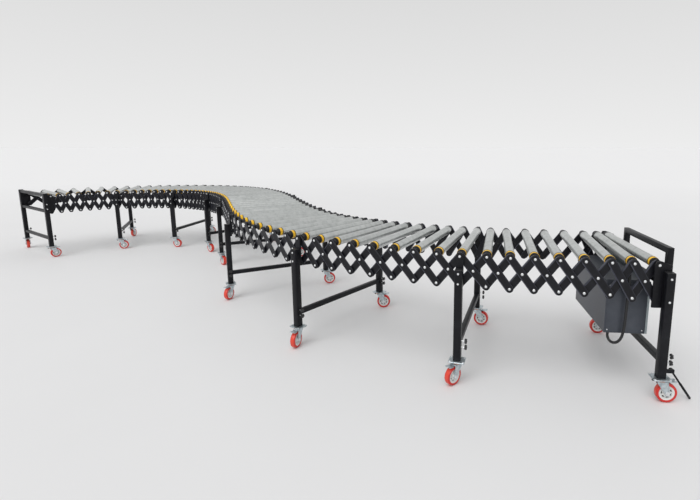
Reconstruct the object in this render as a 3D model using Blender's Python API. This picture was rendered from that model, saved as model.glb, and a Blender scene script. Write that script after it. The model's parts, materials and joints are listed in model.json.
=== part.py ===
# Flexible roller conveyor on castors: a bed of rollers between two scissor side frames, on nine leg frames.
# Metres, +Z up. The bed starts at the right end at station 0 and runs towards -X in an S-bend.
# Near is the -Y side of the bed, far is the +Y side. Every roller axle is one station.

import bpy
import bmesh
import math
from mathutils import Matrix, Vector

# Rollers and their axles
axle_height = 0.680
roller_diameter = 0.050
roller_half_length = 0.332
roller_hub_radius = 0.014
roller_sides = 8
axle_width = 0.012
axle_sides = 8

# Scissor links: an inner and an outer layer on each side of the bed
link_pivot_length = 0.200
link_width = 0.038
link_thickness = 0.007
link_layer_gap = 0.006
link_overrun = 0.014
roller_end_gap = 0.018
link_end_steps = 4
pin_radius = 0.005
pin_sides = 6
hole_sides = 8
mid_rivet_width = 0.009

# Clearances
running_clearance = 0.0004
seat_gap = 0.0003
bend_gap = 0.0007
cut_overrun = 0.002

# Plan of the bed, from the right end: stations between leg frames, and the pitch and turn along the way.
# A pitch is a share of the link span, and a turn is in degrees from one station to the next.
# The folding stations follow the end stations in a straight line.
stations_between_frames = (8, 8, 8, 8, 9, 10, 8, 7)
end_stations = 2
folding_stations = 4
knot_stations = (0.5, 1.5, 2.5, 5.5, 6.5, 7.5, 8.5, 12, 16, 20, 25, 30, 34, 38, 43, 47, 51, 55, 59, 63, 66)
knot_pitch_shares = (0.405, 0.455, 0.600, 0.600, 0.545, 0.545, 0.550, 0.595, 0.555, 0.610, 0.720,
                     0.745, 0.575, 0.365, 0.375, 0.450, 0.500, 0.485, 0.585, 0.605, 0.590)
knot_turns = (3.8, 1.6, 0.0, 0.0, 1.4, 4.0, 2.3, 2.3, 2.7, 4.0, 1.5,
              -0.35, -2.2, -2.4, -2.9, -4.9, -3.5, -3.5, -3.7, -5.05, -4.5)
bed_first_stations = (7, 13, 21, 30, 39, 48, 56, 63)

# Leg frames; a drop is measured down from the roller axles and a rise up from them
leg_width = 0.040
leg_gap = 0.035
leg_top_drop = 0.065
bracket_gap = 0.003
bracket_width = 0.040
bracket_foot_drop = 0.160
bracket_head = 0.019
cross_tube_width = 0.030
cross_tube_height = 0.215
castor_plate_length = 0.072
castor_plate_width = 0.060
castor_plate_thickness = 0.004

# Right end frame, its sleeves and the end stop
end_leg_offset = 0.040
upper_tube_width = 0.025
upper_tube_drop = 0.0825
upper_tube_offset = 0.0125
housing_foot_drop = 0.210
housing_top_drop = 0.030
stop_offset = 0.097
stop_inset = 0.084
stop_tube_width = 0.030
stop_top_rise = 0.062
stop_foot_drop = 0.250
sleeve_wall = 0.005
sleeve_foot_drop = 0.190
sleeve_top_drop = 0.060

# Left end frame
far_end_leg_offset = -0.055
far_end_top_rise = 0.035
far_end_bottom_tube_drop = 0.160

# Castors
castor_height = 0.127
wheel_diameter = 0.100
wheel_width = 0.030
wheel_hub_radius = 0.016
wheel_sides = 12
castor_trail = 0.032
fork_plate_thickness = 0.004
fork_wheel_gap = 0.003
fork_crown_height = 0.008
fork_neck_radius = 0.024
fork_neck_height = 0.010
fork_top_half = 0.026
fork_foot_half = 0.013
wheel_axle_radius = 0.006
pedal_reach = 0.076
pedal_width = 0.039
pedal_thickness = 0.004

# Swivel angle of each castor in degrees, left end first: 0 trails towards the right end
near_castor_angles = (0, 0, 0, 10, 20, -43, -70, -122, 0)
far_castor_angles = (80, 70, 60, 40, 50, 73, 38, 0, 180)

# Control box under the right end
box_length = 0.200
box_near_gap = 0.050
box_far_gap = 0.145
box_top_drop = 0.100
box_foot_drop = 0.380
box_lid_step = 0.003
box_lid_height = 0.012
carrier_thickness = 0.003
terminal_width = 0.030
terminal_depth = 0.034
terminal_height = 0.130
terminal_rib = 0.004
terminal_ribs = 5
transformer_width = 0.062
transformer_depth = 0.070
transformer_height = 0.078
transformer_foot = 0.010
electrics_gap = 0.004
transformer_gap = 0.008

# Cable from the top of the box past its front and up into its underside; heights are from the roller axles
cable_diameter = 0.014
gland_radius = 0.013
gland_length = 0.014
gland_inset = 0.038
top_gland_offset = -0.100
foot_gland_offset = -0.170
cable_points = 44
cable_route = (
    (-0.100, -0.262, -0.0855), (-0.100, -0.262, -0.072), (-0.100, -0.266, -0.058), (-0.101, -0.281, -0.046),
    (-0.103, -0.301, -0.048), (-0.105, -0.317, -0.068), (-0.107, -0.324, -0.105), (-0.109, -0.326, -0.160),
    (-0.111, -0.326, -0.230), (-0.113, -0.326, -0.300), (-0.116, -0.324, -0.355), (-0.123, -0.318, -0.398),
    (-0.136, -0.306, -0.426), (-0.152, -0.288, -0.437), (-0.165, -0.271, -0.429), (-0.170, -0.262, -0.410),
    (-0.170, -0.262, -0.3945))

# Prop rod at the near leg of the right end
prop_pivot_offset = 0.062
prop_pivot_height = 0.150
prop_line_shift = 0.028
prop_eye_radius = 0.011
prop_eye_width = 0.012
prop_rod_radius = 0.006
prop_angle = 55.0
prop_lug_width = 0.010
prop_pin_radius = 0.004
prop_sides = 8

last_station = sum(stations_between_frames)
frame_stations = [sum(stations_between_frames[:count]) for count in range(len(stations_between_frames) + 1)]
inner_link_face = roller_half_length + roller_end_gap
outer_link_face = inner_link_face + link_thickness + link_layer_gap
bed_half_width = outer_link_face + link_thickness
leg_line = bed_half_width + leg_gap
stop_line = inner_link_face - stop_inset
box_near_reach = inner_link_face - box_near_gap
box_far_reach = inner_link_face - box_far_gap
carrier_far_reach = (box_far_reach + box_lid_step + electrics_gap + terminal_width + transformer_gap
                     + transformer_width)
gland_line = -(box_near_reach - gland_inset)
leg_top_height = axle_height - leg_top_drop
bracket_foot_height = axle_height - bracket_foot_drop
upper_tube_height = axle_height - upper_tube_drop
housing_foot_height = axle_height - housing_foot_drop
housing_top_height = axle_height - housing_top_drop
stop_top_height = axle_height + stop_top_rise
stop_foot_height = axle_height - stop_foot_drop
sleeve_foot_height = axle_height - sleeve_foot_drop
sleeve_top_height = axle_height - sleeve_top_drop
far_end_top_height = axle_height + far_end_top_rise
far_end_bottom_tube_height = axle_height - far_end_bottom_tube_drop
box_top_height = axle_height - box_top_drop
box_foot_height = axle_height - box_foot_drop
inner_layer = inner_link_face + link_thickness / 2
outer_layer = outer_link_face + link_thickness / 2
near, far = -1, 1
side_names = {near: "near", far: "far"}
first_fold_station, last_fold_station = end_stations, end_stations + folding_stations
fold_pitch = knot_pitch_shares[knot_stations.index(end_stations + 0.5)] * link_pivot_length


def clear_scene():
    for item in list(bpy.data.objects):
        bpy.data.objects.remove(item, do_unlink=True)


def make_material(name, colour, roughness, metallic):
    material = bpy.data.materials.new(name)
    material.use_nodes = True
    shader = material.node_tree.nodes["Principled BSDF"]
    shader.inputs["Base Color"].default_value = (*colour, 1.0)
    shader.inputs["Roughness"].default_value = roughness
    shader.inputs["Metallic"].default_value = metallic
    material.diffuse_color = (*colour, 1.0)
    return material


# Plan of the bed

def interpolate(values, place):
    # straight lines between the knots, held level past both ends
    if place <= knot_stations[0]:
        return values[0]
    for low, high, start, end in zip(knot_stations, knot_stations[1:], values, values[1:]):
        if place <= high:
            return start + (end - start) * (place - low) / (high - low)
    return values[-1]


def plan_stations():
    # a step goes one pitch along the mean heading of its two stations
    places = [(Vector((0.0, 0.0, 0.0)), 0.0)]
    for unit in range(last_station):
        middle = unit + 0.5
        pitch = interpolate(knot_pitch_shares, middle) * link_pivot_length
        turn = math.radians(interpolate(knot_turns, middle))
        point, heading = places[-1]
        mean = heading + turn / 2
        step = Vector((-math.cos(mean), math.sin(mean), 0.0)) * pitch
        places.append((point + step, heading + turn))
    return places


stations = plan_stations()


def station_matrix(station):
    # local X points back to the right end, local Y across the bed to the far side
    point, heading = stations[station]
    return Matrix.Translation(point) @ Matrix.Rotation(-heading, 4, "Z")


def pivot_point(station, side, distance, height=axle_height):
    return station_matrix(station) @ Vector((0.0, side * distance, height))


def side_drop(unit, side):
    # how far the bottom pivots of a unit hang below its top pivots
    chord = pivot_point(unit, side, inner_layer) - pivot_point(unit - 1, side, inner_layer)
    return math.sqrt(link_pivot_length ** 2 - chord.length_squared)


def bottom_height(station, side):
    units = [unit for unit in (station, station + 1) if 1 <= unit <= last_station]
    return axle_height - sum(side_drop(unit, side) for unit in units) / len(units)


# Mesh building

def add_block(mesh, size, matrix, slot=0):
    made = bmesh.ops.create_cube(mesh, size=1.0, matrix=matrix @ Matrix.Diagonal((*size, 1.0)))
    mark_faces(made["verts"], slot)


def add_cylinder(mesh, radius, length, sides, matrix, slot=0):
    # the axis is the matrix's local Z, centred
    made = bmesh.ops.create_cone(mesh, cap_ends=True, segments=sides, radius1=radius, radius2=radius,
                                 depth=length, matrix=matrix)
    mark_faces(made["verts"], slot)


def add_prism(mesh, outline, depth, matrix, slot=0):
    # the outline lies in the local XY plane and is carried along Z, centred
    rings = []
    for level in (-depth / 2, depth / 2):
        rings.append([mesh.verts.new(matrix @ Vector((x, y, level))) for x, y in outline])
    low, high = rings
    count = len(outline)
    faces = [mesh.faces.new(low[::-1]), mesh.faces.new(high)]
    for index in range(count):
        after = (index + 1) % count
        faces.append(mesh.faces.new((low[index], low[after], high[after], high[index])))
    for face in faces:
        face.material_index = slot


def add_lathe(mesh, profile, sides, matrix, slot=0):
    # the profile is a closed ring of (radius, place on the axis) and is turned about the local Z
    rings = []
    for step in range(sides):
        angle = 2 * math.pi * step / sides
        rings.append([mesh.verts.new(matrix @ Vector((radius * math.cos(angle), radius * math.sin(angle), place)))
                      for radius, place in profile])
    for step in range(sides):
        here, there = rings[step], rings[(step + 1) % sides]
        for index in range(len(profile)):
            after = (index + 1) % len(profile)
            face = mesh.faces.new((here[index], there[index], there[after], here[after]))
            face.material_index = slot


def mark_faces(vertices, slot):
    for face in {face for vertex in vertices for face in vertex.link_faces}:
        face.material_index = slot


def temporary_object(mesh, materials):
    bmesh.ops.recalc_face_normals(mesh, faces=mesh.faces)
    data = bpy.data.meshes.new("working")
    mesh.to_mesh(data)
    mesh.free()
    for material in materials:
        data.materials.append(material)
    item = bpy.data.objects.new("working", data)
    bpy.context.collection.objects.link(item)
    return item


def finish_mesh(name, base, materials, joined=(), cut=()):
    # unions and cuts are made once here, so that copies can share the finished mesh
    body = temporary_object(base, materials)
    helpers = []
    for operation, pieces in (("UNION", joined), ("DIFFERENCE", cut)):
        for piece in pieces:
            helper = temporary_object(piece, materials)
            helper.hide_render = True
            helper.display_type = "WIRE"
            helpers.append(helper)
            step = body.modifiers.new(operation.title(), "BOOLEAN")
            step.operation = operation
            step.solver = "EXACT"
            step.object = helper
    graph = bpy.context.evaluated_depsgraph_get()
    data = bpy.data.meshes.new_from_object(body.evaluated_get(graph))
    data.name = name
    for item in (body, *helpers):
        bpy.data.objects.remove(item, do_unlink=True)
    return data


placed = {}


def place(name, data, matrix, parent=None):
    # every object hangs under the piece that carries it, and its origin is on its own joint's axis
    item = bpy.data.objects.new(name, data)
    bpy.context.collection.objects.link(item)
    placed[item.name] = matrix
    if parent is not None:
        item.parent = parent
        item.matrix_basis = placed[parent.name].inverted() @ matrix
    else:
        item.matrix_basis = matrix
    return item


across = Matrix.Rotation(math.radians(-90.0), 4, "X")


# Scissor links

def link_matrix(top, bottom, side, station):
    # local X runs along the link, local Z points out of the bed
    along = (bottom - top).normalized()
    outward = Vector((-along.y, along.x, 0.0)).normalized()
    sideways = station_matrix(station).to_3x3() @ Vector((0.0, side, 0.0))
    if outward.dot(sideways) < 0:
        outward.negate()
    width = outward.cross(along)
    matrix = Matrix((along, width, outward)).transposed().to_4x4()
    matrix.translation = (top + bottom) / 2
    return matrix


def outer_link_ends(unit, side):
    # from the top pivot of a station down to the bottom pivot of the station on its right
    return (pivot_point(unit, side, outer_layer),
            pivot_point(unit - 1, side, outer_layer, bottom_height(unit - 1, side)))


def inner_link_ends(unit, side):
    # from the top pivot of the right-hand station down to the left
    return (pivot_point(unit - 1, side, inner_layer),
            pivot_point(unit, side, inner_layer, bottom_height(unit, side)))


def add_plain_link(mesh, ends, side, station):
    top, bottom = ends
    length = (bottom - top).length + 2 * link_overrun
    add_block(mesh, (length, link_width, link_thickness), link_matrix(top, bottom, side, station))


def mid_rivet(mesh, unit, side):
    outer = sum(outer_link_ends(unit, side), Vector()) / 2
    inner = sum(inner_link_ends(unit, side), Vector()) / 2
    matrix = link_matrix(*outer_link_ends(unit, side), side, unit)
    matrix.translation = (outer + inner) / 2
    add_block(mesh, (mid_rivet_width, mid_rivet_width, link_thickness + link_layer_gap), matrix)


def shared_rivet(mesh, unit, side):
    # a stub on the inner link that seats against the outer link of the bed section on its left
    ends = inner_link_ends(unit, side)
    reach = link_thickness / 2 + link_layer_gap - bend_gap
    matrix = link_matrix(*ends, side, unit)
    matrix.translation += matrix.to_3x3() @ Vector((0.0, 0.0, reach / 2))
    add_block(mesh, (mid_rivet_width, mid_rivet_width, reach), matrix)


def round_link_outline():
    points = []
    for centre, start in ((link_pivot_length / 2, -90.0), (-link_pivot_length / 2, 90.0)):
        for step in range(link_end_steps + 1):
            angle = math.radians(start + 180.0 * step / link_end_steps)
            points.append((centre + link_width / 2 * math.cos(angle), link_width / 2 * math.sin(angle)))
    return points


# Bed sections that keep their bend: rollers, axles and links in one piece

def axle_frame(station):
    # the station's axle: local Z runs along it, and the middle of the roller is at the origin
    return station_matrix(station) @ Matrix.Translation((0.0, 0.0, axle_height)) @ across


def bed_section(number, first, last, materials, parent):
    links_and_tubes, axles = bmesh.new(), bmesh.new()
    beside_fold = first == last_fold_station + 1
    hub = station_matrix(first).lerp(station_matrix(first - 1), 0.5)
    if beside_fold:
        hub = station_matrix(last_fold_station) @ Matrix.Translation((0.0, 0.0, axle_height))
    for station in range(first, last + 1):
        frame = axle_frame(station)
        add_cylinder(links_and_tubes, roller_diameter / 2, 2 * roller_half_length, roller_sides, frame, 1)
        reach = outer_layer if station not in frame_stations else bed_half_width + bracket_gap - seat_gap
        add_block(axles, (axle_width, axle_width, 2 * reach), frame)
        for side in (near, far):
            add_plain_link(links_and_tubes, outer_link_ends(station, side), side, station)
            if station < last_station:
                add_plain_link(links_and_tubes, inner_link_ends(station + 1, side), side, station)
            if station == last and station < last_station:
                shared_rivet(axles, station + 1, side)
            if station > first and side == near:
                mid_rivet(axles, station, side)
    cutters = []
    if beside_fold:
        # the inner links of this unit carry the first folding axle in round holes
        holes = bmesh.new()
        for side in (near, far):
            add_plain_link(links_and_tubes, inner_link_ends(first, side), side, first)
            mid_rivet(axles, first, side)
        add_cylinder(holes, hole_radius(axle_width / 2), 2 * bed_half_width, hole_sides,
                     axle_frame(last_fold_station))
        cutters.append(holes)
    to_hub = hub.inverted()
    for mesh in (links_and_tubes, axles, *cutters):
        mesh.transform(to_hub)
    data = finish_mesh("roller_bed_%d" % number, links_and_tubes, materials, (axles,), cutters)
    return place("roller_bed_%d" % number, data, hub, parent)


def end_bed(number, materials, parent):
    # the rollers at the right end frame; the axle at the folding section is round for its moving links
    links_and_tubes, axles = bmesh.new(), bmesh.new()
    for station in range(end_stations + 1):
        frame = axle_frame(station)
        add_cylinder(links_and_tubes, roller_diameter / 2, 2 * roller_half_length, roller_sides, frame, 1)
        if station == end_stations:
            add_cylinder(axles, axle_width / 2, 2 * outer_layer, axle_sides, frame)
        else:
            reach = outer_layer if station else bed_half_width + bracket_gap - seat_gap
            add_block(axles, (axle_width, axle_width, 2 * reach), frame)
        if station:
            for side in (near, far):
                add_plain_link(links_and_tubes, outer_link_ends(station, side), side, station)
                add_plain_link(links_and_tubes, inner_link_ends(station, side), side, station)
            mid_rivet(axles, station, near)
    data = finish_mesh("roller_bed_%d" % number, links_and_tubes, materials, (axles,))
    return place("roller_bed_%d" % number, data, Matrix.Identity(4), parent)


def hole_radius(shaft_radius):
    # the flats of a faceted hole stay one running clearance outside the shaft's corners
    return (shaft_radius + running_clearance) / math.cos(math.pi / hole_sides)


# Folding section: true lazy tongs between the right end frame and the first fixed bed section

def fold_drop():
    return math.sqrt(link_pivot_length ** 2 - fold_pitch ** 2)


def fold_link_matrix(side, towards_right, layer):
    # the link's middle is at the local origin, and local Z points out of the bed
    top = Vector((-fold_pitch / 2 if towards_right else fold_pitch / 2, side * layer, fold_drop() / 2))
    bottom = Vector((-top.x, side * layer, -fold_drop() / 2))
    return link_matrix(top, bottom, side, 0)


def fold_axle(unit):
    # the axle at the left of a folding unit
    return station_matrix(first_fold_station + unit) @ Matrix.Translation((0.0, 0.0, axle_height))


def middle_of_fold_unit(unit):
    return fold_axle(unit) @ Matrix.Translation((fold_pitch / 2, 0.0, -fold_drop() / 2))


def outer_link_pair(unit, material, parent):
    # both outer links and the axle that joins them at their top pivots, with the axle at the origin
    links, axle, holes = bmesh.new(), bmesh.new(), bmesh.new()
    to_axle = Matrix.Translation((fold_pitch / 2, 0.0, -fold_drop() / 2))
    for side in (near, far):
        add_prism(links, round_link_outline(), link_thickness,
                  to_axle @ fold_link_matrix(side, True, outer_layer))
    add_cylinder(axle, axle_width / 2, 2 * outer_layer, axle_sides, across)
    for x, z in ((fold_pitch / 2, -fold_drop() / 2), (fold_pitch, -fold_drop())):
        add_cylinder(holes, hole_radius(pin_radius), 2 * (bed_half_width + cut_overrun), hole_sides,
                     Matrix.Translation((x, 0.0, z)) @ across)
    name = "outer_link_pair_%d" % unit
    data = finish_mesh(name, links, (material,), (axle,), (holes,))
    return place(name, data, fold_axle(unit), parent)


def inner_link(unit, side, material, parent):
    # the hole rides on the axle, and the pins pass through the outer links
    link, pins, holes = bmesh.new(), bmesh.new(), bmesh.new()
    add_prism(link, round_link_outline(), link_thickness, fold_link_matrix(side, False, inner_layer))
    pin_places = [(0.0, 0.0)]
    if unit < folding_stations:
        pin_places.append((-fold_pitch / 2, -fold_drop() / 2))
    pin_length = bed_half_width - inner_layer
    for x, z in pin_places:
        add_cylinder(pins, pin_radius, pin_length, pin_sides,
                     Matrix.Translation((x, side * (inner_layer + pin_length / 2), z)) @ across)
    add_cylinder(holes, hole_radius(axle_width / 2), link_thickness + 2 * cut_overrun, hole_sides,
                 Matrix.Translation((fold_pitch / 2, side * inner_layer, fold_drop() / 2)) @ across)
    name = "inner_link_%s_%d" % (side_names[side], unit)
    data = finish_mesh(name, link, (material,), (pins,), (holes,))
    return place(name, data, middle_of_fold_unit(unit), parent)


def roller_mesh(material):
    # a tube with a hub at each end that runs up to the inner link
    mesh = bmesh.new()
    bore = hole_radius(axle_width / 2)
    hub_end = inner_link_face - seat_gap
    half = [(roller_diameter / 2, roller_half_length), (roller_hub_radius, roller_half_length),
            (roller_hub_radius, hub_end), (bore, hub_end)]
    profile = [(radius, -place_on_axis) for radius, place_on_axis in half[::-1]] + half
    add_lathe(mesh, profile, roller_sides, across)
    return finish_mesh("folding_roller", mesh, (material,))


# Leg frames

def add_leg(mesh, plates, side, offset, top):
    foot = castor_height
    add_block(mesh, (leg_width, leg_width, top - foot),
              Matrix.Translation((offset, side * leg_line, (top + foot) / 2)))
    plate_height = castor_height - castor_plate_thickness / 2
    add_block(plates, (castor_plate_length, castor_plate_width, castor_plate_thickness + 2 * seat_gap),
              Matrix.Translation((offset, side * leg_line, plate_height + seat_gap)))


def add_cross_tube(mesh, width, height, offset, reach):
    add_block(mesh, (width, 2 * reach, width), Matrix.Translation((offset, 0.0, height)))


def add_bracket(mesh, side, offset, foot_height, head_height):
    # a pointed plate between the links and the leg, from the top pivot down the leg
    half = bracket_width / 2
    left, right = min(-half, offset - half), max(half, offset + half)
    outline = [(left, foot_height), (right, foot_height), (right, head_height - half),
               (half / 2, head_height), (-half / 2, head_height), (left, head_height - half)]
    inner_face, leg_face = bed_half_width + bracket_gap, leg_line - leg_width / 2 + seat_gap
    upright = (Matrix.Translation((0.0, side * (inner_face + leg_face) / 2, 0.0))
               @ Matrix.Rotation(math.radians(90.0), 4, "X"))
    add_prism(mesh, outline, leg_face - inner_face, upright)


def leg_frame(number, station, material, parent):
    legs, added = bmesh.new(), bmesh.new()
    at_end = station == last_station
    offset = far_end_leg_offset if at_end else 0.0
    top = far_end_top_height if at_end else leg_top_height
    brackets = bmesh.new()
    for side in (near, far):
        add_leg(legs, added, side, offset, top)
        add_bracket(brackets, side, offset, bracket_foot_height, axle_height + bracket_head)
    tubes = bmesh.new()
    add_cross_tube(tubes, cross_tube_width, cross_tube_height, offset, leg_line)
    if at_end:
        add_cross_tube(tubes, cross_tube_width, top - cross_tube_width / 2 - seat_gap, offset, leg_line)
        add_cross_tube(tubes, cross_tube_width, far_end_bottom_tube_height, offset, leg_line)
    name = "leg_frame_%d" % number
    data = finish_mesh(name, legs, (material,), (added, brackets, tubes))
    return place(name, data, station_matrix(station), parent)


def end_frame(material, parent):
    # the right end frame carries the end stop's sleeves on two arms, and the control box
    legs, added, brackets, sleeves = bmesh.new(), bmesh.new(), bmesh.new(), bmesh.new()
    tubes, holes, pin, arms = bmesh.new(), bmesh.new(), bmesh.new(), bmesh.new()
    hole_width = stop_tube_width + 2 * seat_gap
    sleeve_width = hole_width + 2 * sleeve_wall
    sleeve_middle = (sleeve_top_height + sleeve_foot_height) / 2
    sleeve_length = sleeve_top_height - sleeve_foot_height
    for side in (near, far):
        add_leg(legs, added, side, end_leg_offset, housing_top_height)
        add_bracket(brackets, side, end_leg_offset, housing_foot_height, axle_height + bracket_head)
        add_block(sleeves, (sleeve_width, sleeve_width, sleeve_length),
                  Matrix.Translation((stop_offset, side * stop_line, sleeve_middle)))
        add_block(holes, (hole_width, hole_width, sleeve_length + 2 * cut_overrun),
                  Matrix.Translation((stop_offset, side * stop_line, sleeve_middle)))
        arm_reach = stop_offset - hole_width / 2 - upper_tube_offset
        add_block(arms, (arm_reach, upper_tube_width - 2 * seat_gap, upper_tube_width - 2 * seat_gap),
                  Matrix.Translation((upper_tube_offset + arm_reach / 2 - seat_gap, side * stop_line,
                                      upper_tube_height)))
    add_cross_tube(tubes, cross_tube_width, cross_tube_height, end_leg_offset, leg_line)
    add_cross_tube(tubes, upper_tube_width, upper_tube_height, upper_tube_offset, leg_line)
    # a lug and a pin for the prop rod
    lug_line = -leg_line + prop_line_shift
    lug_reach = prop_pivot_offset - leg_width / 2 + prop_eye_radius
    pivot_x = end_leg_offset + prop_pivot_offset
    lug_near = lug_line - prop_eye_width / 2 - seat_gap - prop_lug_width / 2
    add_block(added, (lug_reach, prop_lug_width, 2 * prop_eye_radius),
              Matrix.Translation((end_leg_offset + leg_width / 2 + lug_reach / 2 - seat_gap,
                                  lug_near, prop_pivot_height)))
    pin_reach = prop_eye_width + seat_gap + prop_lug_width / 2
    add_cylinder(pin, prop_pin_radius, pin_reach, prop_sides,
                 Matrix.Translation((pivot_x, lug_near + pin_reach / 2, prop_pivot_height)) @ across)
    data = finish_mesh("end_frame", legs, (material,), (added, brackets, tubes, arms, sleeves, pin), (holes,))
    hub = fold_axle(0)
    data.transform(hub.inverted())
    return place("end_frame", data, hub, parent)


def end_stop(material, parent):
    # an upside-down U of square tube whose posts slide in the sleeves
    posts, bar = bmesh.new(), bmesh.new()
    bar_middle = stop_top_height - stop_tube_width / 2
    for side in (near, far):
        add_block(posts, (stop_tube_width, stop_tube_width, stop_top_height - stop_foot_height),
                  Matrix.Translation((0.0, side * stop_line, (stop_foot_height - stop_top_height) / 2
                                      + stop_tube_width / 2)))
    add_block(bar, (stop_tube_width, 2 * stop_line, stop_tube_width), Matrix.Identity(4))
    data = finish_mesh("end_stop", posts, (material,), (bar,))
    return place("end_stop", data, Matrix.Translation((stop_offset, 0.0, bar_middle)), parent)


def floor_prop(material, parent):
    # a rod that hangs on a pin by its eye and leans on the floor
    rod, eye, holes = bmesh.new(), bmesh.new(), bmesh.new()
    lean = math.radians(prop_angle)
    direction = Vector((math.cos(lean), 0.0, -math.sin(lean)))
    turn = Vector((0.0, 0.0, 1.0)).rotation_difference(direction).to_matrix().to_4x4()
    reach = (prop_pivot_height - prop_rod_radius * math.cos(lean) - seat_gap) / math.sin(lean)
    start = prop_pin_radius + prop_rod_radius / 2
    add_cylinder(rod, prop_rod_radius, reach - start, prop_sides,
                 Matrix.Translation(direction * (start + reach) / 2) @ turn)
    add_cylinder(eye, prop_eye_radius, prop_eye_width, prop_sides, across)
    add_cylinder(holes, hole_radius(prop_pin_radius), prop_eye_width + 2 * cut_overrun, hole_sides, across)
    data = finish_mesh("floor_prop", rod, (material,), (eye,), (holes,))
    pivot = Vector((end_leg_offset + prop_pivot_offset, -leg_line + prop_line_shift, prop_pivot_height))
    return place("floor_prop", data, Matrix.Translation(pivot), parent)


# Castors

def add_fork(neck, cheeks, pedal):
    # swivel neck and crown under the plate, two cheeks down to the wheel's axle, and the brake pedal
    top = castor_height - castor_plate_thickness - seat_gap
    neck_foot = top - fork_neck_height
    add_cylinder(neck, fork_neck_radius, fork_neck_height + cut_overrun, wheel_sides,
                 Matrix.Translation((0.0, 0.0, (top + neck_foot - cut_overrun) / 2)))
    line = wheel_width / 2 + fork_wheel_gap + fork_plate_thickness / 2
    crown_foot = neck_foot - fork_crown_height
    crown_width = 2 * line + fork_plate_thickness - 2 * seat_gap
    add_block(cheeks, (2 * fork_top_half - 2 * seat_gap, crown_width, fork_crown_height),
              Matrix.Translation((castor_trail / 4, 0.0, neck_foot - fork_crown_height / 2)))
    pedal_length = pedal_reach - castor_trail / 4
    add_block(pedal, (pedal_length, pedal_width, pedal_thickness),
              Matrix.Translation((castor_trail / 4 + pedal_length / 2, 0.0, neck_foot - fork_crown_height / 2)))
    axle = Vector((castor_trail, wheel_diameter / 2))
    outline = [(castor_trail / 4 - fork_top_half, neck_foot - cut_overrun),
               (castor_trail / 4 - fork_top_half, crown_foot),
               (axle.x - fork_foot_half, axle.y - fork_foot_half / 2),
               (axle.x, axle.y - fork_foot_half),
               (axle.x + fork_foot_half, axle.y - fork_foot_half / 2),
               (castor_trail / 4 + fork_top_half, crown_foot),
               (castor_trail / 4 + fork_top_half, neck_foot - cut_overrun)]
    return line, outline


def fork_mesh(name, materials, wheel=None):
    neck, crown, cheeks = bmesh.new(), bmesh.new(), bmesh.new()
    pedal, axle = bmesh.new(), bmesh.new()
    line, outline = add_fork(neck, crown, pedal)
    upright = Matrix.Rotation(math.radians(90.0), 4, "X")
    for side in (near, far):
        add_prism(cheeks, outline, fork_plate_thickness, Matrix.Translation((0.0, side * line, 0.0)) @ upright)
    add_cylinder(axle, wheel_axle_radius, 2 * line, pin_sides if wheel else axle_sides,
                 Matrix.Translation((castor_trail, 0.0, wheel_diameter / 2)) @ across)
    joined = [crown, cheeks, pedal, axle]
    if wheel:
        joined.append(wheel)
    return finish_mesh(name, neck, materials, joined)


def plain_wheel():
    mesh = bmesh.new()
    add_cylinder(mesh, wheel_diameter / 2, wheel_width, wheel_sides,
                 Matrix.Translation((castor_trail, 0.0, wheel_diameter / 2)) @ across, 1)
    return mesh


def wheel_mesh(material):
    mesh = bmesh.new()
    bore = hole_radius(wheel_axle_radius)
    half = [(wheel_diameter / 2, wheel_width / 2), (wheel_hub_radius, wheel_width / 2),
            (wheel_hub_radius, wheel_width / 2 + fork_wheel_gap - seat_gap),
            (bore, wheel_width / 2 + fork_wheel_gap - seat_gap)]
    profile = [(radius, -place_on_axis) for radius, place_on_axis in half[::-1]] + half
    add_lathe(mesh, profile, wheel_sides, across)
    return finish_mesh("castor_wheel", mesh, (material,))


def castor_matrix(station, side, offset, angle):
    return (station_matrix(station) @ Matrix.Translation((offset, side * leg_line, 0.0))
            @ Matrix.Rotation(math.radians(angle), 4, "Z"))


# Control box, its electrics and its cable

def control_box(material, parent):
    housing, lid, plate, glands = bmesh.new(), bmesh.new(), bmesh.new(), bmesh.new()
    height = box_top_height - box_foot_height
    width = box_near_reach + box_far_reach
    middle_y = (box_far_reach - box_near_reach) / 2
    middle_x = -carrier_thickness - seat_gap - box_length / 2
    add_block(housing, (box_length, width, height),
              Matrix.Translation((middle_x, middle_y, (box_top_height + box_foot_height) / 2)))
    add_block(lid, (box_length + 2 * box_lid_step - 2 * carrier_thickness, width + 2 * box_lid_step, box_lid_height),
              Matrix.Translation((middle_x - box_lid_step / 2, middle_y, box_top_height - box_lid_height)))
    plate_width = box_near_reach + carrier_far_reach
    plate_top = upper_tube_height + upper_tube_width / 2
    add_block(plate, (carrier_thickness + seat_gap, plate_width, plate_top - box_foot_height),
              Matrix.Translation((-seat_gap - carrier_thickness / 2 - seat_gap / 2,
                                  (carrier_far_reach - box_near_reach) / 2, (plate_top + box_foot_height) / 2)))
    add_cylinder(glands, gland_radius, 2 * gland_length, hole_sides,
                 Matrix.Translation((top_gland_offset, gland_line, box_top_height)))
    add_cylinder(glands, gland_radius, 2 * gland_length, hole_sides,
                 Matrix.Translation((foot_gland_offset, gland_line, box_foot_height)))
    data = finish_mesh("control_box", housing, (material,), (lid, plate, glands))
    return place("control_box", data, Matrix.Identity(4), parent)


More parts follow.
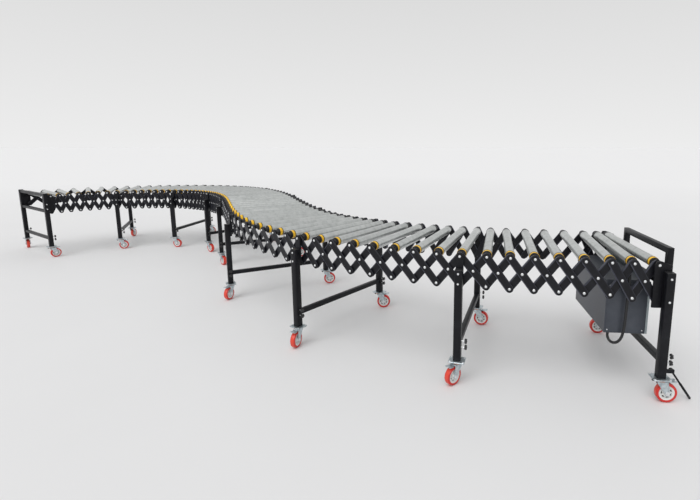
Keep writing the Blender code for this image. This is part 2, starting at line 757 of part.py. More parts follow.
def terminal_strip(material, parent):
    # a ribbed green block on the carrier plate beside the box
    base, ribs = bmesh.new(), bmesh.new()
    line = box_far_reach + box_lid_step + electrics_gap + terminal_width / 2
    front = -carrier_thickness - 2 * seat_gap
    middle = (box_top_height + box_foot_height) / 2
    add_block(base, (terminal_depth, terminal_width, terminal_height),
              Matrix.Translation((front - terminal_depth / 2 - seat_gap, line, middle)))
    for rib in range(terminal_ribs):
        height = middle + terminal_height * ((rib + 0.5) / terminal_ribs - 0.5)
        add_block(ribs, (terminal_depth / 2, terminal_width - terminal_rib, 2 * terminal_rib),
                  Matrix.Translation((front - terminal_depth - seat_gap, line, height)))
    data = finish_mesh("terminal_strip", base, (material,), (ribs,))
    return place("terminal_strip", data, Matrix.Identity(4), parent)


def transformer(material, parent):
    base, foot = bmesh.new(), bmesh.new()
    line = carrier_far_reach - transformer_width / 2
    front = -carrier_thickness - 3 * seat_gap
    middle = (box_top_height + box_foot_height) / 2
    add_block(base, (transformer_depth, transformer_width - transformer_foot, transformer_height),
              Matrix.Translation((front - transformer_depth / 2, line, middle)))
    add_block(foot, (transformer_foot, transformer_width, transformer_height + 2 * transformer_foot),
              Matrix.Translation((front - transformer_foot / 2, line, middle)))
    data = finish_mesh("transformer", base, (material,), (foot,))
    return place("transformer", data, Matrix.Identity(4), parent)


def smooth_route(route, count):
    # a Catmull-Rom curve through the route's points, read at even steps of its length
    points = [Vector(point) for point in route]
    points = [2 * points[0] - points[1]] + points + [2 * points[-1] - points[-2]]
    fine = []
    per_span = 24
    for a, b, c, d in zip(points, points[1:], points[2:], points[3:]):
        for step in range(per_span):
            t = step / per_span
            fine.append(0.5 * (2 * b + (c - a) * t + (2 * a - 5 * b + 4 * c - d) * t ** 2
                               + (3 * b - a - 3 * c + d) * t ** 3))
    fine.append(points[-2])
    lengths = [0.0]
    for start, end in zip(fine, fine[1:]):
        lengths.append(lengths[-1] + (end - start).length)
    even, index = [], 0
    for step in range(count):
        target = lengths[-1] * step / (count - 1)
        while index < len(lengths) - 2 and lengths[index + 1] < target:
            index += 1
        share = (target - lengths[index]) / (lengths[index + 1] - lengths[index])
        even.append(fine[index].lerp(fine[index + 1], share))
    return even


def control_cable(material, parent):
    curve = bpy.data.curves.new("control_cable", "CURVE")
    curve.dimensions = "3D"
    curve.bevel_depth = cable_diameter / 2
    curve.bevel_resolution = 2
    curve.use_fill_caps = True
    line = curve.splines.new("POLY")
    points = smooth_route([(x, y, axle_height + rise) for x, y, rise in cable_route], cable_points)
    line.points.add(len(points) - 1)
    for target, point in zip(line.points, points):
        target.co = (*point, 1.0)
    curve.materials.append(material)
    return place("control_cable", curve, Matrix.Identity(4), parent)


def centre_on_floor(root):
    # the origin goes to the middle of the whole object's box, on the floor
    graph = bpy.context.evaluated_depsgraph_get()
    bpy.context.view_layer.update()
    corners = []
    for item in bpy.data.objects:
        if item.type in {"MESH", "CURVE"}:
            seen = item.evaluated_get(graph)
            data = seen.to_mesh()
            corners += [seen.matrix_world @ vertex.co for vertex in data.vertices]
            seen.to_mesh_clear()
    low = Vector([min(corner[axis] for corner in corners) for axis in range(3)])
    high = Vector([max(corner[axis] for corner in corners) for axis in range(3)])
    root.location -= Vector(((low.x + high.x) / 2, (low.y + high.y) / 2, low.z))
    bpy.context.view_layer.update()


def build():
    clear_scene()
    black = make_material("black_paint", (0.025, 0.027, 0.03), 0.42, 0.0)
    zinc = make_material("roller_zinc", (0.62, 0.64, 0.66), 0.35, 0.9)
    fork_zinc = make_material("castor_zinc", (0.70, 0.72, 0.74), 0.3, 0.9)
    red = make_material("red_tread", (0.78, 0.06, 0.04), 0.45, 0.0)
    box_grey = make_material("box_grey", (0.16, 0.17, 0.19), 0.5, 0.2)
    green = make_material("terminal_green", (0.02, 0.22, 0.12), 0.5, 0.0)
    brown = make_material("winding_brown", (0.22, 0.07, 0.04), 0.5, 0.0)
    cable_black = make_material("cable_black", (0.02, 0.02, 0.02), 0.55, 0.0)

    root = place("conveyor", None, Matrix.Identity(4))
    # fixed bed sections, each over its own leg frame, hinged to the one on its right
    beds, frames = {}, {}
    limits = list(bed_first_stations) + [last_station + 1]
    carrier = root
    total = len(bed_first_stations)
    for index, (first, after) in enumerate(zip(limits, limits[1:])):
        number = total - index
        carrier = bed_section(number, first, after - 1, (black, zinc), carrier)
        beds[number] = carrier
        frames[number] = leg_frame(number, frame_stations[index + 1], black, carrier)

    # the folding section hangs on the right-hand bed section and carries the end frame
    roller = roller_mesh(zinc)
    carrier = beds[total]
    for unit in range(folding_stations, 0, -1):
        pair = outer_link_pair(unit, black, carrier)
        place("folding_roller_%d" % unit, roller, fold_axle(unit), pair)
        for side in (near, far):
            link = inner_link(unit, side, black, pair)
        carrier = link
    end = end_frame(black, carrier)
    end_bed(total + 1, (black, zinc), end)
    end_stop(black, end)
    floor_prop(black, end)
    box = control_box(box_grey, end)
    terminal_strip(green, box)
    transformer(brown, box)
    control_cable(cable_black, box)

    # castors
    fork = fork_mesh("castor_fork", (fork_zinc,))
    wheel = wheel_mesh(red)
    castor = fork_mesh("castor", (fork_zinc, red), plain_wheel())
    for number, station in zip(range(total + 1, 0, -1), frame_stations):
        for side, angles in ((near, near_castor_angles), (far, far_castor_angles)):
            offset = {0: end_leg_offset, last_station: far_end_leg_offset}.get(station, 0.0)
            matrix = castor_matrix(station, side, offset, angles[number - 1])
            if station == 0:
                item = place("end_castor_fork_%s" % side_names[side], fork, matrix, end)
                hub = Matrix.Translation((castor_trail, 0.0, wheel_diameter / 2))
                place("end_castor_wheel_%s" % side_names[side], wheel, matrix @ hub, item)
            else:
                place("castor_%s_%d" % (side_names[side], number), castor, matrix, frames[number])
    centre_on_floor(root)


build()
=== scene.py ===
import json
import math
import bmesh
import bpy
import numpy as np
from mathutils import Matrix, Vector


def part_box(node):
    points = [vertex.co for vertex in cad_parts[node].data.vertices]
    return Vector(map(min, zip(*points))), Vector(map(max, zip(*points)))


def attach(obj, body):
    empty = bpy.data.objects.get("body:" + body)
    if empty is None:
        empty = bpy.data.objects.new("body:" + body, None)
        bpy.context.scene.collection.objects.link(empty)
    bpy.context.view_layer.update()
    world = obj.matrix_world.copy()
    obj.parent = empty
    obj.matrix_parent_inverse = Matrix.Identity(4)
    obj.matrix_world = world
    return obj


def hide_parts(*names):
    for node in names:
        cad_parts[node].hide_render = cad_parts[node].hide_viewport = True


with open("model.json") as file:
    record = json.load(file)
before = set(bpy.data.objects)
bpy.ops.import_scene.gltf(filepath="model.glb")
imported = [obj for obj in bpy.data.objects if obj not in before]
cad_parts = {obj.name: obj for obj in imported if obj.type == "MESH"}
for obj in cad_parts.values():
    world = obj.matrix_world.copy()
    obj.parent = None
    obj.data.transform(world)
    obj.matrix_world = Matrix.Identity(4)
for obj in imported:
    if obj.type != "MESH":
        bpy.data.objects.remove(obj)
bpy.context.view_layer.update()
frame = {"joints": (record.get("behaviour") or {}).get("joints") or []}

# Flexible roller conveyor. Its rigid pieces are array surfaces in the frame's own metres.
joints = {joint["name"]: joint for joint in frame["joints"]}
randoms = np.random.default_rng(41)
copyShift = 40.0    # how far apart the copies' noise may lie
print("stage: frame loaded")

# one station for each roller axle, from the right end: the same plan as the solids
bedPlan = {
    "knots": [0.5, 1.5, 2.5, 5.5, 6.5, 7.5, 8.5, 12, 16, 20, 25, 30, 34, 38, 43, 47, 51, 55, 59, 63, 66],
    "pitchShares": [0.405, 0.455, 0.600, 0.600, 0.545, 0.545, 0.550, 0.595, 0.555, 0.610, 0.720,
                    0.745, 0.575, 0.365, 0.375, 0.450, 0.500, 0.485, 0.585, 0.605, 0.590],
    "turns": [3.8, 1.6, 0.0, 0.0, 1.4, 4.0, 2.3, 2.3, 2.7, 4.0, 1.5,
              -0.35, -2.2, -2.4, -2.9, -4.9, -3.5, -3.5, -3.7, -5.05, -4.5],
    "lastStation": 66,
    "bedFirsts": [7, 13, 21, 30, 39, 48, 56, 63],
    "legStations": [0, 8, 16, 24, 32, 41, 51, 59, 66],
    "foldFirst": 2,
    "foldUnits": 4,
    "pivotLength": 0.200,
    "axleHeight": 0.680,
    "innerLayer": 0.3535,
    "outerLayer": 0.3665,
}


def planStations(plan):
    # heading = running sum of turns, place = running sum of pitch * (-cos mean, sin mean)
    middles = np.arange(plan["lastStation"]) + 0.5
    pitch = np.interp(middles, plan["knots"], plan["pitchShares"]) * plan["pivotLength"]
    turn = np.radians(np.interp(middles, plan["knots"], plan["turns"]))
    heading = np.concatenate([[0.0], np.cumsum(turn)])
    mean = (heading[:-1] + heading[1:]) / 2
    steps = np.stack([-np.cos(mean), np.sin(mean)], 1) * pitch[:, None]
    frames = np.tile(np.eye(4), (len(heading), 1, 1))
    frames[:, 0, 0], frames[:, 0, 1] = np.cos(heading), np.sin(heading)
    frames[:, 1, 0], frames[:, 1, 1] = -np.sin(heading), np.cos(heading)
    frames[:, :2, 3] = np.concatenate([[[0.0, 0.0]], np.cumsum(steps, 0)])
    return frames


stations = planStations(bedPlan)
foldEnd = np.array(joints["fold_end_top"]["pos_m"]) - [0.0, 0.0, bedPlan["axleHeight"]]
stations[:, :3, 3] += foldEnd - stations[bedPlan["foldFirst"], :3, 3]
rowStart = stations[0, :3, 3].copy()


# camera

cameraPlan = {
    "place": (-1.003, -2.510, 1.2387),     # from station 0, on the floor under its axle
    "heading": (-0.0886, 0.9961),
    "pitch": 9.34,                          # degrees below the horizon
    "lens": 22.78, "sensor": 36.0,
    "shift": (-0.0836, -0.0451),
}


def makeCamera(plan):
    # right = heading turned by -90 degrees, up = right x forward
    across, away = plan["heading"]
    low = math.radians(plan["pitch"])
    forward = Vector((across * math.cos(low), away * math.cos(low), -math.sin(low)))
    right = Vector((away, -across, 0.0))
    up = right.cross(forward)
    data = bpy.data.cameras.new("camera")
    data.lens, data.sensor_width = plan["lens"], plan["sensor"]
    data.shift_x, data.shift_y = plan["shift"]
    camera = bpy.data.objects.new("camera", data)
    turn = Matrix((right, up, -forward)).transposed().to_4x4()
    camera.matrix_world = Matrix.Translation(Vector(rowStart) + Vector(plan["place"])) @ turn
    bpy.context.scene.collection.objects.link(camera)
    bpy.context.scene.camera = camera


makeCamera(cameraPlan)


# shader maths

class Signal:
    # a socket that adds, takes away, multiplies and divides through Math nodes
    def __init__(self, tree, socket):
        self.tree, self.socket = tree, socket

    def maths(self, kind, first, second=0.0, third=0.0):
        node = self.tree.nodes.new("ShaderNodeMath")
        node.operation = kind
        for port, value in zip(node.inputs, (first, second, third)):
            feed(self.tree, port, value)
        return Signal(self.tree, node.outputs[0])

    def __add__(self, other):
        return self.maths("ADD", self, other)

    def __radd__(self, other):
        return self.maths("ADD", other, self)

    def __sub__(self, other):
        return self.maths("SUBTRACT", self, other)

    def __rsub__(self, other):
        return self.maths("SUBTRACT", other, self)

    def __mul__(self, other):
        return self.maths("MULTIPLY", self, other)

    def __rmul__(self, other):
        return self.maths("MULTIPLY", other, self)

    def __truediv__(self, other):
        return self.maths("DIVIDE", self, other)

    def over(self, low, high):
        # 0 below low, 1 above high, straight between them
        slope = (self - low) / (high - low)
        return slope.maths("MINIMUM", slope.maths("MAXIMUM", slope, 0.0), 1.0)


def feed(tree, port, value):
    # a signal is linked to the socket, a colour or a number is set on it
    if isinstance(value, Signal):
        tree.links.new(value.socket, port)
    elif isinstance(value, (tuple, list)) and len(port.default_value) == 4:
        port.default_value = (*value, 1.0)[:4]
    else:
        port.default_value = value


class Finish:
    # one material: its nodes, and its shader's own sockets
    def __init__(self, name, **values):
        self.material = bpy.data.materials.new(name)
        self.material.use_nodes = True
        self.tree = self.material.node_tree
        self.shader = self.tree.nodes["Principled BSDF"]
        self.set(**values)

    def set(self, **values):
        for name, value in values.items():
            feed(self.tree, self.shader.inputs[name.replace("_", " ")], value)
        return self.material

    def node(self, kind, settings=None, output=0, **values):
        # any other node by its type, its settings and its sockets' values
        node = self.tree.nodes.new("ShaderNode" + kind)
        for key, value in (settings or {}).items():
            setattr(node, key, value)
        for name, value in values.items():
            port = node.inputs[int(name[1:])] if name[1:].isdigit() else node.inputs[name.replace("_", " ")]
            feed(self.tree, port, value)
        return Signal(self.tree, node.outputs[output])

    def own(self):
        # a piece's own place: template coordinates plus a random shift for each copy
        return self.node("Attribute", {"attribute_name": "own"}, 1)

    def flat(self):
        # the template coordinates without the shift
        return self.node("Attribute", {"attribute_name": "flat"}, 1)

    def tone(self):
        # one random number for each copy, from 0 to 1
        return self.node("Attribute", {"attribute_name": "tone"}, 2)

    def stretched(self, place, scale):
        return self.node("VectorMath", {"operation": "MULTIPLY"}, _0=place, _1=scale)

    def noise(self, place, scale, detail=4.0, roughness=0.55):
        return self.node("TexNoise", None, 0, Vector=place, Scale=scale, Detail=detail, Roughness=roughness)

    def mix(self, share, first, second):
        return self.node("Mix", {"data_type": "RGBA"}, 2, _0=share, _6=first, _7=second)

    def bump(self, height, distance, strength=1.0):
        return self.node("Bump", None, 0, Height=height, Distance=distance, Strength=strength)


# materials

paintLook = {
    "black": (0.0060, 0.0062, 0.0082), "worn": (0.019, 0.020, 0.025), "shine": 0.20, "roughness": 0.30,
    "slowScale": 9.0, "wornRange": (0.45, 0.75), "dustScale": 60.0, "dustRange": (0.50, 0.72),
    "grainScale": 900.0, "grainHeight": 0.0002,
}


def blackPaint(look):
    # satin powder coat: black to worn grey by slow noise and dust, orange peel by fine noise
    finish = Finish("black_paint", Metallic=0.0)
    place = finish.own()
    slow = finish.noise(place, look["slowScale"])
    fine = finish.noise(place, look["grainScale"], 2.0)
    dust = finish.noise(place, look["dustScale"], 6.0, 0.7).over(*look["dustRange"])
    worn = slow.over(*look["wornRange"]) * 0.5 + dust * 0.35
    finish.set(Base_Color=finish.mix(worn, look["black"], look["worn"]),
               Roughness=look["roughness"] + slow * 0.16 + dust * 0.10,
               Normal=finish.bump(fine, look["grainHeight"], 0.35), Specular_IOR_Level=look["shine"])
    return finish.material


linkLook = {
    **paintLook, "black": (0.0065, 0.0066, 0.0088), "worn": (0.018, 0.019, 0.025), "shine": 0.24,
    "roughness": 0.28, "slowScale": 11.0, "dustScale": 70.0,
    # edge: the colour of the painted highlight along the links' long edges; the range sets where the strip
    # lies across the link, and the share sets its strength at +y
    "edge": (0.085, 0.090, 0.118), "highlightRange": (0.0150, 0.0172), "backHighlightShare": 0.25,
}


def linkPaint(look):
    # the same paint, with a painted highlight: paler along the long edge at -y of the link's own template,
    # and less at +y, its strength varied by dust noise
    finish = Finish("link_paint", Metallic=0.0)
    place = finish.own()
    slow, dust = finish.noise(place, look["slowScale"]), finish.noise(place, look["dustScale"], 6.0, 0.7)
    across = finish.node("SeparateXYZ", None, 1, Vector=finish.flat())
    # painted highlight: a pale strip along the -y long edge, and a weaker one along +y
    minusYHighlight = (0.0 - across).over(*look["highlightRange"])
    edge = minusYHighlight + across.over(*look["highlightRange"]) * look["backHighlightShare"]
    worn = slow.over(*look["wornRange"]) * 0.5 + dust.over(*look["dustRange"]) * 0.35
    face = finish.mix(worn, look["black"], look["worn"])
    fine = finish.noise(place, look["grainScale"], 2.0)
    # base colour: face paint mixed towards the edge colour, a painted highlight, along both long edges
    finish.set(Base_Color=finish.mix(edge * (0.35 + dust * 0.7), face, look["edge"]),
               Roughness=look["roughness"] + slow * 0.18, Specular_IOR_Level=look["shine"],
               Normal=finish.bump(fine, look["grainHeight"], 0.3))
    return finish.material


rollerLook = {
    "pale": (0.66, 0.68, 0.67), "dark": (0.46, 0.48, 0.47), "rub": (0.74, 0.76, 0.75),
    "metallic": 0.92, "roughness": 0.24, "grainHeight": 0.00006,
    "streakScales": (34.0, 34.0, 1.6), "ringScales": (1.5, 1.5, 160.0), "cloudScale": 7.0,
    "streakRange": (0.42, 0.68), "cloudRange": (0.35, 0.70), "ringRange": (0.60, 0.75),
}


def rollerSteel(look):
    # zinc tube: streaks along the axis and thin rub lines around it
    finish = Finish("roller_steel", Metallic=look["metallic"])
    place = finish.own()
    streak = finish.noise(finish.stretched(place, look["streakScales"]), 1.0, 5.0, 0.6)
    ring = finish.noise(finish.stretched(place, look["ringScales"]), 1.0, 3.0, 0.6)
    cloud = finish.noise(place, look["cloudScale"], 3.0)
    worn = streak.over(*look["streakRange"]) * 0.55 + cloud.over(*look["cloudRange"]) * 0.35
    base = finish.mix(worn + finish.tone() * 0.25, look["pale"], look["dark"])
    finish.set(Base_Color=finish.mix(ring.over(*look["ringRange"]) * 0.30, base, look["rub"]),
               Roughness=look["roughness"] + streak * 0.12 + ring * 0.04,
               Normal=finish.bump(ring * 0.6 + streak * 0.4, look["grainHeight"], 0.05))
    return finish.material


def paintedBand(name, colour, shade, roughness, coat=0.0):
    # a moulded or painted part: colour to shade by slow noise, a fine grain in the surface
    finish = Finish(name, Metallic=0.0, Coat_Weight=coat)
    place = finish.own()
    slow = finish.noise(place, 55.0, 4.0)
    fine = finish.noise(place, 650.0, 2.0)
    finish.set(Base_Color=finish.mix(slow.over(0.38, 0.72), colour, shade),
               Roughness=roughness + slow * 0.16, Normal=finish.bump(fine, 0.00015, 0.3))
    return finish.material


def platedSteel(name, bright, dull, roughness, scale):
    # zinc plate: crystals by Voronoi cells, stains by noise
    finish = Finish(name, Metallic=0.9)
    place = finish.own()
    cell = finish.node("TexVoronoi", {"feature": "F1"}, 0, Vector=place, Scale=scale)
    stain = finish.noise(place, scale / 4.0, 5.0, 0.6)
    finish.set(Base_Color=finish.mix(stain.over(0.40, 0.75), bright, dull),
               Roughness=roughness + cell * 0.20 + stain * 0.12,
               Normal=finish.bump(cell, 0.0001, 0.25))
    return finish.material


treadLook = {
    "red": (0.62, 0.020, 0.012), "middle": (0.80, 0.070, 0.030), "scuff": (0.30, 0.03, 0.03),
    "bandRange": (0.0085, 0.0115), "scuffScale": 120.0, "scuffRange": (0.58, 0.78),
    "coat": 0.25, "roughness": 0.26, "grainHeight": 0.0002,
}


def redTread(look):
    # polyurethane: a lighter band round the middle of the tread, scuffs by noise
    finish = Finish("red_tread", Metallic=0.0, Coat_Weight=look["coat"])
    across = finish.node("SeparateXYZ", None, 1, Vector=finish.flat())
    place = finish.own()
    scuff = finish.noise(place, look["scuffScale"], 6.0, 0.7)
    band = 1.0 - across.maths("ABSOLUTE", across).over(*look["bandRange"])
    colour = finish.mix(band * 0.7, look["red"], look["middle"])
    finish.set(Base_Color=finish.mix(scuff.over(*look["scuffRange"]) * 0.25, colour, look["scuff"]),
               Roughness=look["roughness"] + scuff * 0.30,
               Normal=finish.bump(scuff, look["grainHeight"], 0.3))
    return finish.material


boxLook = {
    "grey": (0.046, 0.052, 0.066), "pale": (0.076, 0.085, 0.104), "metallic": 0.25, "roughness": 0.30,
    "cloudScale": 6.0, "cloudRange": (0.35, 0.70), "grainScale": 1100.0, "grainHeight": 0.00012,
}


def boxPaint(look):
    # smooth enamel on sheet steel, a little paler in clouds
    finish = Finish("box_grey", Metallic=look["metallic"])
    place = finish.own()
    cloud = finish.noise(place, look["cloudScale"], 3.0)
    fine = finish.noise(place, look["grainScale"], 2.0)
    finish.set(Base_Color=finish.mix(cloud.over(*look["cloudRange"]), look["grey"], look["pale"]),
               Roughness=look["roughness"] + cloud * 0.18,
               Normal=finish.bump(fine, look["grainHeight"], 0.3))
    return finish.material


black = blackPaint(paintLook)
linkBlack = linkPaint(linkLook)
steel = rollerSteel(rollerLook)
yellow = paintedBand("yellow_band", (0.95, 0.58, 0.010), (0.86, 0.44, 0.008), 0.30, 0.2)
cap = paintedBand("black_cap", (0.012, 0.012, 0.013), (0.026, 0.026, 0.028), 0.38)
rubber = paintedBand("black_rubber", (0.010, 0.010, 0.011), (0.022, 0.022, 0.024), 0.52)
cableSheath = paintedBand("cable_sheath", (0.008, 0.008, 0.009), (0.016, 0.016, 0.018), 0.34)
bolt = platedSteel("bolt_zinc", (0.86, 0.87, 0.88), (0.62, 0.64, 0.66), 0.16, 500.0)
zinc = platedSteel("castor_zinc", (0.62, 0.68, 0.71), (0.34, 0.40, 0.43), 0.20, 260.0)
plate = platedSteel("carrier_plate", (0.50, 0.56, 0.58), (0.30, 0.35, 0.37), 0.30, 120.0)
copper = platedSteel("copper_ring", (0.72, 0.33, 0.20), (0.46, 0.22, 0.15), 0.25, 300.0)
core = paintedBand("white_core", (0.80, 0.82, 0.80), (0.66, 0.68, 0.67), 0.34)
red = redTread(treadLook)
boxGrey = boxPaint(boxLook)
green = paintedBand("terminal_green", (0.012, 0.17, 0.085), (0.02, 0.27, 0.15), 0.40)
brown = paintedBand("winding_brown", (0.20, 0.045, 0.020), (0.10, 0.030, 0.018), 0.32, 0.3)
grey = paintedBand("lamination_grey", (0.060, 0.055, 0.050), (0.11, 0.10, 0.09), 0.5)
print("stage: materials made")


# surfaces as arrays: a part is its points and its faces, grouped by corner count and material slot

def gridFaces(rows, columns, closed=True):
    # four corners of each cell; a closed grid joins its last column to its first
    row = np.arange(rows - 1)[:, None] * columns
    here = np.arange(columns if closed else columns - 1)[None, :]
    there = (here + 1) % columns
    cells = [row + here, row + there, row + columns + there, row + columns + here]
    return np.stack(np.broadcast_arrays(*cells), -1).reshape(-1, 4)


def tube(rings, slots=0):
    # rings (rows, columns, 3) joined in order, with a flat face over each end
    rows, columns = rings.shape[:2]
    faces = gridFaces(rows, columns)
    bands = np.broadcast_to(np.asarray(slots), (rows - 1,))
    groups = [(faces.reshape(rows - 1, columns, 4)[bands == slot].reshape(-1, 4), int(slot))
              for slot in np.unique(bands)]
    ends = np.array([np.arange(columns)[::-1], np.arange(columns) + (rows - 1) * columns])
    groups += [(ends[:1], int(bands[0])), (ends[1:], int(bands[-1]))]
    return rings.reshape(-1, 3), groups


def turned(profile, sides, slots=0):
    # profile rows (radius, place): point = (radius cos a, radius sin a, place)
    angle = np.arange(sides) * 2 * math.pi / sides
    profile = np.asarray(profile, float)
    circle = np.stack([np.cos(angle), np.sin(angle)], 1)
    rings = np.concatenate([profile[:, None, :1] * circle[None],
                            np.broadcast_to(profile[:, None, 1:], (len(profile), sides, 1))], 2)
    return tube(rings, slots)


def insetOutline(outline, amount):
    # each point moves in along the mean of its two sides' normals
    ahead = np.roll(outline, -1, 0) - np.roll(outline, 1, 0)
    normal = np.stack([ahead[:, 1], -ahead[:, 0]], 1)
    return outline - normal / np.linalg.norm(normal, axis=1, keepdims=True) * amount


def prism(outline, depth, bevel, slots=0):
    # the outline carried along Z from -depth/2 to depth/2, its edges broken by the bevel
    levels = [(-depth / 2, bevel), (bevel - depth / 2, 0.0), (depth / 2 - bevel, 0.0), (depth / 2, bevel)]
    rings = [np.column_stack([insetOutline(outline, inset), np.full(len(outline), level)])
             for level, inset in levels]
    return tube(np.array(rings), slots)


def roundedRectangle(width, height, radius, steps=3):
    # corner centres at half size minus radius, each with a quarter circle of points
    angle = np.radians(np.linspace(0, 90, steps))
    quarter = np.stack([np.cos(angle), np.sin(angle)], 1) * radius
    points = []
    for turn, (sx, sy) in enumerate(((1, 1), (-1, 1), (-1, -1), (1, -1))):
        c, s = (1, 0, -1, 0)[turn], (0, 1, 0, -1)[turn]
        rotated = quarter @ np.array([[c, s], [-s, c]])
        points.append(rotated + [sx * (width / 2 - radius), sy * (height / 2 - radius)])
    return np.concatenate(points)


widestBevel = 0.0012


def bar(width, height, length, radius=0.003, slots=0, steps=3):
    # a rounded rectangle carried along Z
    return prism(roundedRectangle(width, height, radius, steps), length, min(widestBevel, radius / 2), slots)


def at(part, x=0.0, y=0.0, z=0.0, turn=None):
    # the part turned by a matrix, then moved
    points, groups = part
    if turn is not None:
        points = points @ np.array(turn)[:3, :3].T
    return points + [x, y, z], groups


def together(*parts):
    points, groups, count = [], [], 0
    for own, faces in parts:
        points.append(own)
        groups += [(rows + count, slot) for rows, slot in faces]
        count += len(own)
    return np.concatenate(points), groups


alongX = Matrix.Rotation(math.radians(90), 4, "Y")      # local Z to +X
alongY = Matrix.Rotation(math.radians(-90), 4, "X")     # local Z to +Y
nearWards = Matrix.Rotation(math.radians(90), 4, "X")   # local Z to -Y


class Shell:
    # the copies that make one piece, and what each point keeps of its template
    def __init__(self):
        self.points, self.own, self.flat, self.tones, self.faces, self.count = [], [], [], [], [], 0

    def take(self, part, matrices=None, tones=None):
        # world point = matrix * template point, for every copy at once
        points, groups = part
        matrices = np.eye(4)[None] if matrices is None else np.asarray(matrices, float).reshape(-1, 4, 4)
        copies = len(matrices)
        world = np.einsum("kij,nj->kni", matrices[:, :3, :3], points) + matrices[:, None, :3, 3]
        shift = randoms.random((copies, 1, 3)) * copyShift
        tones = randoms.random(copies) if tones is None else np.asarray(tones)
        self.points.append(world.reshape(-1, 3))
        self.own.append((points[None] + shift).reshape(-1, 3))
        self.flat.append(np.tile(points, (copies, 1)))
        self.tones.append(np.repeat(tones, len(points)))
        starts = self.count + np.arange(copies) * len(points)
        for rows, slot in groups:
            self.faces.append(((rows[None] + starts[:, None, None]).reshape(-1, rows.shape[1]), slot))
        self.count += copies * len(points)
        return self


def makePiece(name, body, shell, materials, nodes=(), sharp=32.0):
    # arrays to a mesh, normals turned outward, edges sharper than the angle kept sharp
    mesh = bpy.data.meshes.new(name)
    points = np.concatenate(shell.points)
    corners = np.concatenate([rows.ravel() for rows, slot in shell.faces])
    sizes = np.concatenate([np.full(len(rows), rows.shape[1]) for rows, slot in shell.faces])
    slots = np.concatenate([np.full(len(rows), slot) for rows, slot in shell.faces])
    mesh.vertices.add(len(points))
    mesh.vertices.foreach_set("co", points.ravel())
    mesh.loops.add(len(corners))
    mesh.loops.foreach_set("vertex_index", corners)
    mesh.polygons.add(len(sizes))
    mesh.polygons.foreach_set("loop_start", np.cumsum(sizes) - sizes)
    mesh.polygons.foreach_set("material_index", slots)
    mesh.polygons.foreach_set("use_smooth", np.ones(len(sizes), bool))
    for key, kind, field, values in (("own", "FLOAT_VECTOR", "vector", shell.own),
                                     ("flat", "FLOAT_VECTOR", "vector", shell.flat),
                                     ("tone", "FLOAT", "value", shell.tones)):
        store = mesh.attributes.new(key, kind, "POINT")
        store.data.foreach_set(field, np.concatenate(values).astype(np.float32).ravel())
    mesh.update(calc_edges=True)
    work = bmesh.new()
    work.from_mesh(mesh)
    bmesh.ops.recalc_face_normals(work, faces=work.faces)
    work.to_mesh(mesh)
    work.free()
    for material in materials:
        mesh.materials.append(material)
    mesh.set_sharp_from_angle(angle=math.radians(sharp))
    piece = bpy.data.objects.new(name, mesh)
    bpy.context.scene.collection.objects.link(piece)
    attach(piece, body)
    if nodes:
        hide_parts(*nodes)
    return piece


# the control cable comes first: out of the top gland, down past the box, up into its underside

cablePlan = {
    "diameter": 0.014,
    "points": 44,
    "stepsPerSpan": 24,
    "route": [(-0.100, -0.262, -0.0855), (-0.100, -0.262, -0.072), (-0.100, -0.266, -0.058),
              (-0.101, -0.281, -0.046), (-0.103, -0.301, -0.048), (-0.105, -0.317, -0.068),
              (-0.107, -0.324, -0.105), (-0.109, -0.326, -0.160), (-0.111, -0.326, -0.230),
              (-0.113, -0.326, -0.300), (-0.116, -0.324, -0.355), (-0.123, -0.318, -0.398),
              (-0.136, -0.306, -0.426), (-0.152, -0.288, -0.437), (-0.165, -0.271, -0.429),
              (-0.170, -0.262, -0.410), (-0.170, -0.262, -0.3945)],     # z from the roller axles
}


def smoothRoute(route, steps, count):
    # Catmull-Rom spans, then even steps of the running length
    route = np.array([2 * route[0] - route[1], *route, 2 * route[-1] - route[-2]])
    a, b, c, d = (route[k:len(route) - 3 + k][:, None] for k in range(4))
    t = (np.arange(steps) / steps)[None, :, None]
    fine = 0.5 * (2 * b + (c - a) * t + (2 * a - 5 * b + 4 * c - d) * t ** 2
                  + (3 * b - a - 3 * c + d) * t ** 3)
    fine = np.concatenate([fine.reshape(-1, 3), route[-2:-1]])
    length = np.concatenate([[0.0], np.cumsum(np.linalg.norm(np.diff(fine, axis=0), axis=1))])
    even = np.linspace(0.0, length[-1], count)
    return np.stack([np.interp(even, length, fine[:, axis]) for axis in range(3)], 1)


def makeCable(plan):
    route = np.array(plan["route"]) + rowStart + [0.0, 0.0, bedPlan["axleHeight"]]
    points = smoothRoute(route, plan["stepsPerSpan"], plan["points"])
    curve = bpy.data.curves.new("control_cable_sheath", "CURVE")
    curve.dimensions = "3D"
    curve.bevel_depth, curve.bevel_resolution = plan["diameter"] / 2, 4
    curve.use_fill_caps = True
    line = curve.splines.new("POLY")
    line.points.add(len(points) - 1)
    line.points.foreach_set("co", np.column_stack([points, np.ones(len(points))]).ravel())
    line.use_smooth = True
    curve.materials.append(cableSheath)
    piece = bpy.data.objects.new("control_cable_sheath", curve)
    bpy.context.scene.collection.objects.link(piece)
    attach(piece, "end_frame")
    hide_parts("control_cable")


makeCable(cablePlan)
print("stage: camera and cable made")


# rollers: tube, dark ring, yellow band (near end only), black cap and hub

rollerPlan = {
    "sides": 20,
    "half": [   # (radius, place from the middle, slot of the band before it)
        (0.0250, 0.3050, 0), (0.0262, 0.3054, 2), (0.0262, 0.3096, 2), (0.0252, 0.3100, 2),
        (0.0255, 0.3120, 1), (0.0255, 0.3250, 1), (0.0246, 0.3268, 1), (0.0240, 0.3272, 2),
        (0.0236, 0.3300, 2), (0.0226, 0.3314, 2), (0.0150, 0.3322, 2), (0.0140, 0.3340, 2),
        (0.0140, 0.3495, 2), (0.0070, 0.3497, 2), (0.0070, 0.3625, 2)],
}


